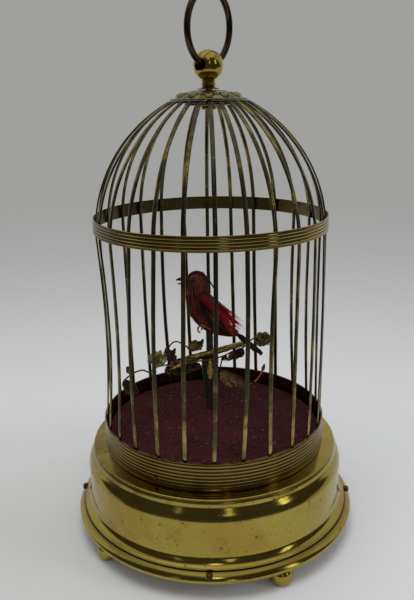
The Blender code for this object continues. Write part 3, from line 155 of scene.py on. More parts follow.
class SongbirdCage(bpy.types.PropertyGroup):
    bar_width: length_setting("Bar width", "Width of each flat cage bar", 0.0021, 0.0005)
    bar_thickness: length_setting("Bar thickness", "Thickness of each flat cage bar", 0.0009, 0.0003)
    ring_reeds: count_setting("Ring reeds", "Reeds round the ring at the cage's foot", 7, 1, 16)
    band_reeds: count_setting("Band reeds", "Reeds round the band at the dome's foot", 4, 1, 10)
    bosses: count_setting("Rosette bosses", "Round bosses on the rosette under the ball", 12, 3, 24)
    velvet: colour_setting("Velvet", "Colour of the cage floor's velvet", srgb(55, 18, 19))


class SongbirdBird(bpy.types.PropertyGroup):
    body_feathers: count_setting("Body feathers", "Feather strands on the body", 760, 50, 3000)
    head_feathers: count_setting("Head feathers", "Feather strands on the head", 420, 50, 2000)
    rust: colour_setting("Rust feathers", "Colour of the breast and cheeks", srgb(80, 31, 22))
    crimson: colour_setting("Crimson feathers", "Colour of the long feathers on the back", srgb(160, 22, 33))
    black: colour_setting("Black feathers", "Colour of the cap, the wing and the tail", srgb(26, 25, 27))


class SongbirdStage(bpy.types.PropertyGroup):
    floor_tone: colour_setting("Floor", "Colour of the floor", (0.60, 0.60, 0.59, 1.0))
    wall_tone: colour_setting("Background", "Colour of the background", srgb(160, 160, 159))
    light: bpy.props.FloatProperty(
        name="Lamp power", description="Power of the overhead soft lamp in watts", default=5.0, min=0.0,
        max=50.0)


# Shader building blocks

def feed(tree, sockets, values):
    """Links or sets the sockets that are named."""
    for key, value in values.items():
        if isinstance(value, bpy.types.NodeSocket):
            tree.links.new(value, sockets[key])
        else:
            sockets[key].default_value = value


def place_node(tree, kind, inputs=None, **settings):
    """Adds a shader node with its settings, and feeds the inputs that are named."""
    made = tree.nodes.new("ShaderNode" + kind)
    for key, value in settings.items():
        setattr(made, key, value)
    feed(tree, made.inputs, inputs or {})
    return made


def calculate(tree, operation, first, second=0.0):
    return place_node(tree, "Math", {0: first, 1: second}, operation=operation).outputs[0]


def plus(tree, first, second):
    return calculate(tree, "ADD", first, second)


def minus(tree, first, second):
    return calculate(tree, "SUBTRACT", first, second)


def times(tree, first, second):
    return calculate(tree, "MULTIPLY", first, second)


def larger(tree, first, second):
    return calculate(tree, "MAXIMUM", first, second)


def toward(tree, way, place):
    """How closely a direction points to a place."""
    return place_node(tree, "VectorMath", {0: way, 1: place}, operation="DOT_PRODUCT").outputs["Value"]


def rise(tree, value, low, high, start=0.0, end=1.0):
    """Start below low, end above high, and a smooth rise between."""
    made = place_node(tree, "MapRange", {"Value": value, "From Min": low, "From Max": high, "To Min": start,
                                         "To Max": end}, interpolation_type="SMOOTHSTEP")
    return made.outputs["Result"]


def fall(tree, value, low, high):
    return rise(tree, value, low, high, 1.0, 0.0)


def mix(tree, share, first, second, mode="MIX"):
    made = place_node(tree, "Mix", {0: share, 6: first, 7: second}, data_type="RGBA", blend_type=mode)
    return made.outputs[2]


def cloud(tree, where, scale, detail=3.0, roughness=0.5):
    return place_node(tree, "TexNoise", {"Vector": where, "Scale": scale, "Detail": detail,
                                         "Roughness": roughness}).outputs["Fac"]


def cells(tree, where, scale):
    return place_node(tree, "TexVoronoi", {"Vector": where, "Scale": scale}).outputs["Distance"]


def stretched(tree, where, scale, turn=(0.0, 0.0, 0.0)):
    return place_node(tree, "Mapping", {"Vector": where, "Scale": scale, "Rotation": turn}).outputs["Vector"]


def object_place(tree):
    return place_node(tree, "TexCoord").outputs["Object"]


def new_group(name, inputs, outputs):
    """A shader node group with its input and output nodes."""
    tree = bpy.data.node_groups.new(name, "ShaderNodeTree")
    for label, kind, start in inputs:
        socket = tree.interface.new_socket(name=label, in_out="INPUT", socket_type="NodeSocket" + kind)
        socket.default_value = start
    for label, kind in outputs:
        tree.interface.new_socket(name=label, in_out="OUTPUT", socket_type="NodeSocket" + kind)
    return tree, tree.nodes.new("NodeGroupInput").outputs, tree.nodes.new("NodeGroupOutput").inputs


def use_group(tree, build, inputs):
    """Places a shared node group in a material, building it the first time."""
    name = build.__name__
    made = tree.nodes.new("ShaderNodeGroup")
    made.node_tree = bpy.data.node_groups.get(name) or build(name)
    feed(tree, made.inputs, inputs)
    return made.outputs


def brass_wear(name):
    """Tarnish in clouds, dark spots, hairline scratches and dark deposit in the furrows; the marks also bring
    painted shade and painted light.
    """
    tree, given, result = new_group(
        name,
        (("Metal", "Color", (0.66, 0.5, 0.17, 1)), ("Tarnish", "Color", (0.3, 0.22, 0.08, 1)),
         ("Grime", "Color", (0.03, 0.02, 0.01, 1)), ("Tarnish Share", "Float", 0.4),
         ("Spot Share", "Float", 0.5), ("Groove", "Float", 0.0), ("Roughness", "Float", 0.2)),
        (("Color", "Color"), ("Roughness", "Float"), ("Height", "Float")))
    where = object_place(tree)
    broad = cloud(tree, where, 70.0, 6.0, 0.62)
    fine = cloud(tree, where, 420.0, 4.0, 0.6)
    # The tarnish share carries the piece's tarnish marks, and painted light is among them.
    patches = plus(tree, plus(tree, broad, times(tree, fine, 0.35)), given["Tarnish Share"])
    tarnish = rise(tree, patches, 0.95, 1.30)
    specks = rise(tree, cloud(tree, where, 1100.0, 2.0), 0.64, 0.72)
    spots = fall(tree, cells(tree, where, 210.0), 0.07, 0.19)
    spots = times(tree, spots, rise(tree, broad, 0.51, 0.60))
    spots = times(tree, larger(tree, specks, spots), given["Spot Share"])
    hairs = rise(tree, cloud(tree, stretched(tree, where, (120, 120, 3200)), 1.0, 2.0), 0.58, 0.74)
    aslant = stretched(tree, where, (2600, 160, 160), (0.5, 0.7, 0.4))
    scratches = larger(tree, hairs, rise(tree, cloud(tree, aslant, 1.0, 2.0), 0.62, 0.74))
    dirt_and_shade = larger(tree, given["Groove"], spots)
    colour = mix(tree, tarnish, given["Metal"], given["Tarnish"])
    stain = times(tree, rise(tree, cloud(tree, where, 34.0, 4.0), 0.45, 0.62), 0.7)
    colour = mix(tree, stain, colour, (0.90, 0.78, 0.68, 1), "MULTIPLY")
    colour = mix(tree, times(tree, scratches, 0.25), colour, given["Metal"])
    rough = plus(tree, times(tree, tarnish, 0.12), times(tree, scratches, 0.06))
    rough = plus(tree, rough, times(tree, dirt_and_shade, 0.35))
    height = minus(tree, times(tree, broad, 0.5), times(tree, scratches, 0.25))
    feed(tree, result, {"Color": mix(tree, dirt_and_shade, colour, given["Grime"]),
                        "Roughness": plus(tree, rough, given["Roughness"]),
                        "Height": minus(tree, height, times(tree, spots, 0.4))})
    return tree


def barbs(name):
    """Fine streaks for feathers, petals and wood, that vary a painted colour."""
    tree, given, result = new_group(
        name,
        (("Tint", "Color", (0.2, 0.1, 0.1, 1)), ("Contrast", "Float", 0.5), ("Fineness", "Float", 900.0)),
        (("Color", "Color"), ("Height", "Float")))
    where = object_place(tree)
    fine = cloud(tree, stretched(tree, where, (1.0, 0.4, 1.6)), given["Fineness"], 4.0, 0.6)
    broad = cloud(tree, where, 160.0, 3.0)
    tone = plus(tree, times(tree, rise(tree, fine, 0.3, 0.7), 0.7),
                times(tree, rise(tree, broad, 0.35, 0.65), 0.3))
    dark = mix(tree, 1.0, given["Tint"], (0.35, 0.34, 0.33, 1), "MULTIPLY")
    light = mix(tree, 1.0, given["Tint"], (1.5, 1.42, 1.35, 1), "MULTIPLY")
    feed(tree, result, {"Color": mix(tree, given["Contrast"], given["Tint"], mix(tree, tone, dark, light)),
                        "Height": tone})
    return tree


def new_finish(name):
    look = bpy.data.materials.new(name)
    look.use_nodes = True
    tree = look.node_tree
    return look, tree, tree.nodes["Principled BSDF"]


def bumped(tree, shader, height, strength, distance):
    bump = place_node(tree, "Bump", {"Height": height, "Strength": strength, "Distance": distance})
    feed(tree, shader.inputs, {"Normal": bump.outputs["Normal"]})


def painted(tree, name):
    return place_node(tree, "Attribute", attribute_name=name)


# Finishes

def brass_finish(name, metal, tarnish, share, spots, roughness, grime_and_shade_marked=True, bump=0.00002):
    """Brass with wear. Dark deposit, with painted shade, is read from the piece's own deposit marks; tarnish,
    with painted light, from its tarnish marks.
    """
    found = bpy.data.materials.get(name)
    if found:
        return found
    look, tree, shader = new_finish(name)
    brass = bpy.context.scene.songbird_brass
    metal = tuple(getattr(brass, metal)) if isinstance(metal, str) else metal
    inputs = {"Metal": metal, "Tarnish": tarnish, "Grime": tuple(brass.grime), "Spot Share": spots,
              "Roughness": roughness, "Tarnish Share": share}
    if grime_and_shade_marked:
        inputs["Groove"] = painted(tree, "groove").outputs["Fac"]
        inputs["Tarnish Share"] = plus(tree, painted(tree, "age").outputs["Fac"], share)
    wear_and_painted_light = use_group(tree, brass_wear, inputs)
    feed(tree, shader.inputs, {"Base Color": wear_and_painted_light["Color"], "Roughness": wear_and_painted_light["Roughness"], "Metallic": 1.0})
    bumped(tree, shader, wear_and_painted_light["Height"], 0.35, bump)
    return look


def polished_brass():
    return brass_finish("polished_brass_worn", "polished", (0.27, 0.18, 0.045, 1), share=0.25, spots=0.7,
                        roughness=0.11)


def ring_brass():
    return brass_finish("reeded_brass_dull", (0.235, 0.175, 0.05, 1), (0.10, 0.072, 0.028, 1), share=0.20,
                        spots=0.6, roughness=0.085)


def cage_brass():
    return brass_finish("aged_brass_bars", "aged", (0.080, 0.073, 0.045, 1), share=0.20, spots=0.5,
                        roughness=0.17)


def band_brass():
    return brass_finish("aged_brass_band", "aged", (0.17, 0.14, 0.05, 1), share=0.12, spots=0.5,
                        roughness=0.10)


def rosette_brass():
    return brass_finish("stamped_brass_olive", (0.27, 0.25, 0.105, 1), (0.12, 0.11, 0.045, 1), share=0.22,
                        spots=0.6, roughness=0.28)


def pull_ring_brass():
    return brass_finish("pull_ring_brass_worn", (0.066, 0.050, 0.027, 1), (0.026, 0.021, 0.013, 1),
                        share=0.20, spots=0.2, roughness=0.20, bump=0.000006)


def movement_brass():
    return brass_finish("movement_brass_lacquered", (0.72, 0.55, 0.27, 1), (0.46, 0.33, 0.15, 1), share=0.15,
                        spots=0.3, roughness=0.30, grime_and_shade_marked=False)


def worked_steel():
    return brass_finish("worked_steel", (0.50, 0.51, 0.53, 1), (0.28, 0.26, 0.25, 1), share=0.15, spots=0.3,
                        roughness=0.28, grime_and_shade_marked=False)


def gilt():
    return brass_finish("gilt_stick", (0.50, 0.36, 0.11, 1), (0.12, 0.085, 0.035, 1), share=0.30, spots=0.8,
                        roughness=0.20, bump=0.00004)


def strand_finish(name, contrast, fineness, roughness, sheen, bump, gloss):
    """A painted soft finish, from the tint that each strand or blade carries."""
    found = bpy.data.materials.get(name)
    if found:
        return found
    look, tree, shader = new_finish(name)
    varied = use_group(tree, barbs, {"Tint": painted(tree, "tint").outputs["Color"], "Contrast": contrast,
                                     "Fineness": fineness})
    rough = minus(tree, roughness, times(tree, varied["Height"], 0.12))
    feed(tree, shader.inputs, {"Base Color": varied["Color"], "Roughness": rough, "Sheen Weight": sheen,
                               "Specular IOR Level": gloss})
    bumped(tree, shader, varied["Height"], 0.4, bump)
    return look


def feather_finish():
    return strand_finish("dyed_feathers", contrast=0.75, fineness=1500.0, roughness=0.70, sheen=0.02,
                         bump=0.00012, gloss=0.16)


def black_finish():
    return strand_finish("black_feather_gloss", contrast=0.6, fineness=1300.0, roughness=0.50, sheen=0.0,
                         bump=0.00008, gloss=0.12)


def petal_finish():
    return strand_finish("faded_petals", contrast=0.8, fineness=700.0, roughness=0.85, sheen=0.05,
                         bump=0.00015, gloss=0.12)


def bark_finish():
    return strand_finish("dark_bark", contrast=0.9, fineness=600.0, roughness=0.78, sheen=0.0, bump=0.0003,
                         gloss=0.10)


def eye_finish():
    look, tree, shader = new_finish("eye_bead")
    tone = rise(tree, cloud(tree, object_place(tree), 900.0), 0.4, 0.7)
    colour = mix(tree, tone, (0.006, 0.005, 0.005, 1), (0.02, 0.014, 0.012, 1))
    feed(tree, shader.inputs, {"Base Color": colour, "Roughness": 0.22, "Specular IOR Level": 0.25})
    return look


def velvet_finish():
    """Short dense pile with brushed patches, faded and dusty here and there."""
    look, tree, shader = new_finish("wine_velvet_pile")
    colour = tuple(bpy.context.scene.songbird_cage.velvet)
    dark = tuple(part * 0.22 for part in colour[:3]) + (1.0,)
    light = tuple(min(part * 2.5 + 0.004, 1.0) for part in colour[:3]) + (1.0,)
    where = object_place(tree)
    brushed = rise(tree, cloud(tree, where, 60.0, 6.0, 0.68), 0.38, 0.60)
    pile = rise(tree, cloud(tree, where, 820.0, 4.0, 0.8), 0.42, 0.66)
    thread = rise(tree, cloud(tree, where, 480.0, 3.0, 0.7), 0.35, 0.65)
    lint = fall(tree, cells(tree, where, 280.0), 0.07, 0.15)
    lint = times(tree, lint, rise(tree, thread, 0.3, 0.7))
    base = mix(tree, brushed, dark, colour)
    base = mix(tree, times(tree, pile, 0.75), base, light)
    base = mix(tree, times(tree, thread, 0.45), base, dark)
    base = mix(tree, times(tree, lint, 0.85), base, (0.36, 0.17, 0.12, 1))
    feed(tree, shader.inputs,
         {"Base Color": base, "Roughness": 0.95, "Specular IOR Level": 0.15, "Sheen Weight": 0.07,
          "Sheen Roughness": 0.4, "Sheen Tint": (0.8, 0.35, 0.36, 1)})
    bumped(tree, shader, plus(tree, times(tree, pile, 0.6), thread), 0.6, 0.0004)
    return look


def chest_wood():
    look, tree, shader = new_finish("chest_wood_grain")
    where = object_place(tree)
    rings = cloud(tree, stretched(tree, where, (0.12, 1.0, 1.0)), 900.0, 5.0, 0.65)
    pores = rise(tree, cloud(tree, stretched(tree, where, (0.05, 1.0, 1.0)), 4200.0, 2.0), 0.6, 0.7)
    colour = mix(tree, rise(tree, rings, 0.3, 0.7), (0.16, 0.085, 0.035, 1), (0.36, 0.22, 0.11, 1))
    feed(tree, shader.inputs, {"Base Color": mix(tree, pores, colour, (0.06, 0.03, 0.015, 1)),
                               "Roughness": plus(tree, 0.5, times(tree, rings, 0.2))})
    bumped(tree, shader, minus(tree, rings, pores), 0.4, 0.0001)
    return look


def skin_finish():
    """Thin pale leather with wrinkles along its folds."""
    look, tree, shader = new_finish("bellows_skin_creased")
    where = object_place(tree)
    grain = cells(tree, where, 1900.0)
    creases = rise(tree, cloud(tree, stretched(tree, where, (0.3, 0.3, 2.0)), 700.0, 4.0), 0.35, 0.65)
    colour = mix(tree, creases, (0.42, 0.32, 0.20, 1), (0.70, 0.60, 0.45, 1))
    colour = mix(tree, rise(tree, grain, 0.0, 0.25, 0.35, 0.0), colour, (0.25, 0.17, 0.09, 1))
    feed(tree, shader.inputs, {"Base Color": colour, "Roughness": plus(tree, 0.6, times(tree, creases, 0.2))})
    bumped(tree, shader, plus(tree, creases, grain), 0.5, 0.00015)
    return look


# Mesh building blocks, which take millimetres

def clear_of(name):
    """Removes a piece made before, so that a button can be pressed again."""
    old = bpy.data.objects.get(name)
    if old:
        bpy.data.objects.remove(old)


def make_piece(name, points, faces, looks, body, marks=None, sharp=40.0, which=None, stands_for=()):
    """Turns points in millimetres and faces into a piece that rides on a body, or on none yet."""
    clear_of(name)
    mesh = bpy.data.meshes.new(name)
    mesh.from_pydata([Vector(point) / MM for point in points], [], faces)
    looks = looks if isinstance(looks, (list, tuple)) else [looks]
    for look in looks:
        mesh.materials.append(look)
    if which:
        mesh.polygons.foreach_set("material_index", which)
    for key, values in (marks or {}).items():
        if isinstance(values[0], float):
            mesh.attributes.new(key, "FLOAT", "POINT").data.foreach_set("value", values)
        else:
            flat = [part for value in values for part in value]
            mesh.attributes.new(key, "FLOAT_COLOR", "POINT").data.foreach_set("color", flat)
    shape = bmesh.new()
    shape.from_mesh(mesh)
    bmesh.ops.recalc_face_normals(shape, faces=shape.faces)
    shape.to_mesh(mesh)
    shape.free()
    mesh.shade_smooth()
    mesh.set_sharp_from_angle(angle=math.radians(sharp))
    piece = bpy.data.objects.new(name, mesh)
    bpy.context.scene.collection.objects.link(piece)
    if body:
        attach(piece, body)
    if stands_for:
        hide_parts(*stands_for)
    return piece


def wrap(rows, sides, first=True, last=True, joined=False):
    """Faces round rows of points, with closed ends, open ones, or the last row joined to the first."""
    faces = []
    for row in range(rows if joined else rows - 1):
        here = row * sides
        there = (row + 1) % rows * sides
        faces += [(here + side, here + (side + 1) % sides, there + (side + 1) % sides, there + side)
                  for side in range(sides)]
    if first and not joined:
        faces.append(tuple(range(sides)))
    if last and not joined:
        faces.append(tuple(range((rows - 1) * sides, rows * sides)))
    return faces


class Heap:
    """Collects the points, faces and painted marks of many strands or blades for one piece."""

    def __init__(self):
        self.points = []
        self.faces = []
        self.tints = []
        self.which = []

    def add(self, points, faces, tints, look=0):
        start = len(self.points)
        self.points += [Vector(point) for point in points]
        self.faces += [tuple(start + corner for corner in face) for face in faces]
        self.tints += tints if isinstance(tints, list) else [tints] * len(points)
        self.which += [look] * len(faces)

    def piece(self, name, looks, body, slot, sharp=50.0, stands_for=()):
        return make_piece(name, self.points, self.faces, looks, body, {"tint": self.tints}, sharp,
                          self.which, stands_for)


def softened(outline, radius, steps=3):
    """Rounds the corners of a closed outline of (radius, height, deposit and shade mark)."""
    found = []
    for index, corner in enumerate(outline):
        here = Vector(corner[:2])
        before = Vector(outline[index - 1][:2]) - here
        after = Vector(outline[(index + 1) % len(outline)][:2]) - here
        straight = before.length < 1e-6 or after.length < 1e-6 or here.x < 1e-6
        if straight or abs(math.pi - before.angle(after)) < math.radians(14):
            found.append(corner)
            continue
        reach = min(radius, 0.45 * before.length, 0.45 * after.length)
        start = here + before.normalized() * reach
        end = here + after.normalized() * reach
        for step in range(steps + 1):
            share = step / steps
            place = start.lerp(here, share).lerp(here.lerp(end, share), share)
            found.append((place.x, place.y, corner[2]))
    return found


def spin(outline, sides, centre=AXIS):
    """The points, faces and deposit and shade marks of a closed outline of (radius, height, mark) spun about
    its axis.
    """
    points = []
    grime_and_shade_marks = []
    rows = []
    for radius, height, groove in outline:
        count = 1 if radius < 1e-6 else sides
        rows.append(range(len(points), len(points) + count))
        for side in range(count):
            place = polar(radius, FRONT + 360 * side / sides, height)
            points.append((centre[0] + place.x, centre[1] + place.y, height))
            grime_and_shade_marks.append(float(groove))
    faces = []
    for row, after in zip(rows, rows[1:] + rows[:1]):
        for side in range(sides if len(row) + len(after) > 2 else 0):
            corners = (row[side % len(row)], row[(side + 1) % len(row)],
                       after[(side + 1) % len(after)], after[side % len(after)])
            faces.append(tuple(dict.fromkeys(corners)))
    return points, faces, grime_and_shade_marks


def turned_piece(name, outline, look, body, sides=192, centre=AXIS, stands_for=()):
    points, faces, grime_and_shade_marks = spin(outline, sides, centre)
    return make_piece(name, points, faces, look, body, {"groove": grime_and_shade_marks}, sharp=TURNED_CREASE,
                      stands_for=stands_for)


def arc(centre, radius, start, end, steps, groove=0.0):
    """Outline points along an arc, from one angle to another in degrees."""
    found = []
    for step in range(steps + 1):
        turn = math.radians(start + (end - start) * step / steps)
        found.append((centre[0] + radius * math.cos(turn), centre[1] + radius * math.sin(turn), groove))
    return found


def finely(levels, column, pitch):
    """The levels of an outline with more between them, about this pitch apart in the given column."""
    found = []
    for start, end in zip(levels[:-1], levels[1:]):
        steps = max(int(abs(end[column] - start[column]) / pitch), 1)
        found += [tuple(a + (b - a) * step / steps for a, b in zip(start, end)) for step in range(steps)]
    return found + [levels[-1]]


def through(points, index, t):
    """The place at this share of the way from one point to the next, on a curve through them all."""
    before = points[max(index - 1, 0)]
    start, end = points[index], points[index + 1]
    after = points[min(index + 2, len(points) - 1)]
    return 0.5 * (2 * start + (end - before) * t + (2 * before - 5 * start + 4 * end - after) * t * t
                  + (3 * start - before - 3 * end + after) * t ** 3)


def smooth_route(points, steps):
    """A curve through all the points, with this many steps between two of them."""
    points = [Vector(point) for point in points]
    route = [through(points, index, step / steps)
             for index in range(len(points) - 1) for step in range(steps)]
    return route + [points[-1]]


def tube(heap, route, radii, tint, sides=8, look=0):
    """A round wire along a route, closed at its ends."""
    points = []
    across = None
    for index, place in enumerate(route):
        along = (route[min(index + 1, len(route) - 1)] - route[max(index - 1, 0)]).normalized()
        if across is None:
            across = along.cross(UP if abs(along.z) < 0.9 else Vector((1, 0, 0)))
        across = (across - along * across.dot(along)).normalized()
        other = along.cross(across)
        radius = radii[index] if isinstance(radii, (list, tuple)) else radii
        for side in range(sides):
            turn = math.tau * side / sides
            points.append(place + (across * math.cos(turn) + other * math.sin(turn)) * radius)
    heap.add(points, wrap(len(route), sides), tint, look)


def plume(heap, route, facing, width, thickness, tint, tip=None, look=0, blunt=0.0):
    """One thin feather: a narrow blade along a route, with a raised rib, facing outward."""
    last = len(route) - 1
    points = []
    tints = []
    tip = tip or tint
    for index, place in enumerate(route):
        along = (route[min(index + 1, last)] - route[max(index - 1, 0)]).normalized()
        out = facing[index] if isinstance(facing, list) else facing
        side = along.cross(out).normalized()
        out = side.cross(along).normalized()
        share = index / last
        spread = (0.35 + 0.65 * ease(share, 0.0, 0.3)) * (1 - (1 - blunt) * ease(share, 0.45, 1.0))
        half = side * (max(spread, 0.06) * width / 2)
        points += [place - half, place + out * (thickness * max(spread, 0.2)), place + half,
                   place - out * (thickness * 0.3)]
        tints += [blended(tint, tip, ease(share, 0.3, 1.0))] * 4
    heap.add(points, wrap(len(route), 4), tints, look)


def shaded(colour, factor, warm=0.0):
    """A colour made lighter or darker, and a little warmer or colder."""
    return (min(colour[0] * factor * (1 + warm), 1.0), min(colour[1] * factor, 1.0),
            min(colour[2] * factor * (1 - warm), 1.0), 1.0)


def blended(first, second, share):
    return tuple(a + (b - a) * share for a, b in zip(first, second))


# Base

def make_feet():
    outline = [(0.0, 0.0, 0.2), (3.0, 0.0, 0.2), (4.0, 0.35, 0.1), (5.2, 1.7, 0), (5.85, 3.6, 0),
               (5.95, 5.2, 0), (5.7, 6.9, 0), (5.1, 8.1, 0), (4.3, 8.9, 0.1), (3.7, 9.3, 0.7),
               (3.57, 9.7, 0.8), (3.57, 10.5, 0.6), (0.0, 10.5, 0.0)]
    for number in range(4):
        low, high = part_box(f"foot_{number + 1}")
        centre = (low + high) / 2 * MM
        turned_piece(f"ball_foot_{number + 1}", softened(outline, 0.5), polished_brass(), "frame",
                     sides=72, centre=(centre.x, centre.y),
                     stands_for=[f"foot_{number + 1}"])


def make_flange():
    outline = [(62.0, 10.8, 0.3), (76.9, 10.8, 0.3), (77.4, 11.3, 0), (77.4, 12.7, 0), (76.95, 13.35, 0),
               (76.5, 13.9, 0), (75.9, 14.55, 0.1), (75.2, 15.1, 0.2), (74.4, 15.62, 0.55),
               (74.25, 15.7, 0.9), (62.0, 15.7, 0.9)]
    turned_piece("flange", softened(outline, 0.25), polished_brass(), "frame", 256,
                 stands_for=["base_flange"])
    heap = Heap()
    head = [(0.0, 13.4, 1), (1.6, 13.4, 1), (1.6, 15.7, 0.5), (1.45, 16.05, 0.1), (0.9, 16.32, 0),
            (0.0, 16.4, 0)]
    slot_half = 0.28
    slot_floor = 15.75
    head_foot = 15.9
    screw_reach = 75.75
    for number in range(4):
        turn = FRONT - 2.4 + 90 * number
        centre = polar(screw_reach, turn)
        along = polar(1, turn + 50)
        points, faces, _ = spin(softened(head, 0.15), 24, centre)
        points = [Vector(point) for point in points]
        for place in points:
            if abs((place - centre).cross(along).z) < slot_half and place.z > head_foot:
                place.z = slot_floor
        heap.add(points, faces, BLACK)
    marks = [0.85 if point.z < head_foot else 0.55 for point in heap.points]
    make_piece("flange_screws", heap.points, heap.faces, polished_brass(), "frame",
               {"groove": marks, "age": [0.3] * len(marks)}, sharp=30)


def make_drum():
    outline = [(0.0, 50.4, 0), (66.2, 50.4, 0), (66.75, 50.3, 0), (67.15, 49.95, 0), (67.25, 49.6, 0.35),
               (67.12, 49.35, 0.9), (67.2, 49.05, 0.5), (67.45, 48.6, 0.05), (67.62, 47.6, 0),
               (67.8, 46.3, 0), (68.35, 45.4, 0), (69.05, 44.2, 0), (69.6, 43.0, 0), (70.02, 41.8, 0),
               (70.32, 40.6, 0), (70.42, 40.2, 0.1), (70.4, 40.0, 0.25), (70.4, 39.6, 0)]
    outline += [(70.4, 39.6 - step * 1.25, 0) for step in range(1, 13)]
    outline += arc((77.0, 22.8), 6.6, 180, 238, 14)
    outline += [(73.7, 17.12, 0.3), (74.0, 16.9, 0), (74.0, 16.3, 0.2), (73.8, 16.0, 0.6), (69.5, 16.0, 1),
                (69.5, 40.0, 0.5), (66.9, 46.3, 0.5), (66.4, 49.5, 0.5), (0.0, 49.5, 0.5)]
    points, faces, grime_and_shade_marks = spin(softened(outline, 0.3), 256)
    tarnish_and_light_marks = [0.26 * ease(-x, 24.0, 50.0) * ease(z, 42.0, 49.5) for x, y, z in points]
    make_piece("drum", points, faces, polished_brass(), "frame",
               {"groove": grime_and_shade_marks, "age": tarnish_and_light_marks}, sharp=TURNED_CREASE, stands_for=["base_drum"])


# Cage

def reeded_outline(wall, low, high, reeds, depth, clean, dark, soot):
    """A thin ring's outline with rounded reeds on its outside, dark in the valleys, and a painted dark
    reflection on its inner face.
    """
    bore = REEDED_BORE
    crest = bore + wall
    lip = (high - low) / (2 * reeds + 4)
    pitch = (high - low - 2 * lip) / reeds
    # Painted dark reflection: the inner face and its top edge carry darker marks.
    outline = [(bore, high - 0.5, 0.35), (bore, high, 0.6), (bore + 0.3 * wall, high, 0.5),
               (bore + 0.45 * wall, high, 0), (crest - 0.1, high, 0), (crest, high - 0.25 * lip, 0),
               (crest, high - 0.8 * lip, 0.1)]
    steps = 11
    for reed in range(reeds):
        top = high - lip - reed * pitch
        for step in range(steps):
            share = (step + 0.5) / steps
            round_up = math.sqrt(max(1 - (2 * share - 1) ** 2, 0.0))
            valley = ease(abs(2 * share - 1), clean, dark)
            outline.append((crest - depth * (1 - round_up), top - share * pitch, soot * valley))
    return outline + [(crest, low + 0.8 * lip, 0.1), (crest, low + 0.2 * lip, 0.2), (crest - 0.1, low, 0.5),
                      (bore, low, 0.35)]


def make_cage_rings():
    sizes = bpy.context.scene.songbird_cage
    ring = reeded_outline(0.86, RING_LOW, RING_HIGH, sizes.ring_reeds, depth=0.35, clean=0.60, dark=0.86,
                          soot=0.72)
    turned_piece("reeded_ring", ring, ring_brass(), "frame", 256, stands_for=["cage_ring"])
    band = reeded_outline(0.6, BAND_LOW, BAND_HIGH, sizes.band_reeds, depth=0.32, clean=0.58, dark=0.74,
                          soot=0.97)
    points, faces, grime_and_shade_marks = spin(band, 256)
    tarnish_and_light_marks = [0.52 * ease(-x, 26.0, 50.0) + 0.34 * ease(x, 36.0, 56.0) for x, y, z in points]
    make_piece("reeded_band", points, faces, band_brass(), "frame",
               {"groove": grime_and_shade_marks, "age": tarnish_and_light_marks}, sharp=TURNED_CREASE, stands_for=["cage_band"])
    sides = 16
    turn = FRONT - 29
    place = polar(60.36, turn, 54.0)
    points = []
    for reach, radius in ((-0.3, 1.05), (0.35, 1.05), (0.6, 0.8), (0.7, 0.3)):
        for side in range(sides):
            around = math.tau * side / sides
            points.append(place + polar(reach, turn) + polar(radius * math.cos(around), turn + 90)
                          + UP * (radius * math.sin(around)))
    make_piece("ring_screw", points, wrap(4, sides), ring_brass(), "frame",
               {"groove": [0.9] * (2 * sides) + [0.45] * (2 * sides)}, sharp=30)


def bar_stations():
    """The bar's outer face as (radius, height, share of the bend, share of the twist), from foot to tab."""
    stations = []
    for step in range(57):
        height = RING_LOW + (DOME_FOOT - RING_LOW) * step / 56
        share = min(max((height - RING_HIGH) / (DOME_FOOT - RING_HIGH), 0.0), 1.0)
        stations.append((BAR_REACH, height, math.sin(math.pi * share), share))
    highest = math.acos((HUB_REACH - DOME_MIDDLE) / DOME_RADIUS)
    for step in range(1, 31):
        turn = highest * step / 30
        stations.append((DOME_MIDDLE + DOME_RADIUS * math.cos(turn), DOME_FOOT + DOME_RADIUS * math.sin(turn),
                         0.0, 1.0))
    tab = stations[-1][1]
    return stations + [(HUB_REACH + (TAB_REACH - HUB_REACH) * step / 5, tab, 0.0, 1.0)
                       for step in range(1, 6)]


def bar_turn(number, share):
    """Where a bar stands round the cage, in degrees, at this share of its twist."""
    return FRONT + 360 * number / BARS + BAR_TWIST * share


def bend_of(number):
    """How far a bar's solid is bent towards +X at half height."""
    height = (RING_HIGH + DOME_FOOT) / 2 / MM
    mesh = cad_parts[f"cage_bar_{number + 1:02d}"].data
    near = [point.co.x for point in mesh.vertices if abs(point.co.z - height) < 0.001]
    share = (height * MM - RING_HIGH) / (DOME_FOOT - RING_HIGH)
    middle = polar(BAR_REACH - 0.45, bar_turn(number, share))
    return (sum(near, 0.0) / len(near) * MM - middle.x) / math.sin(math.pi * share)


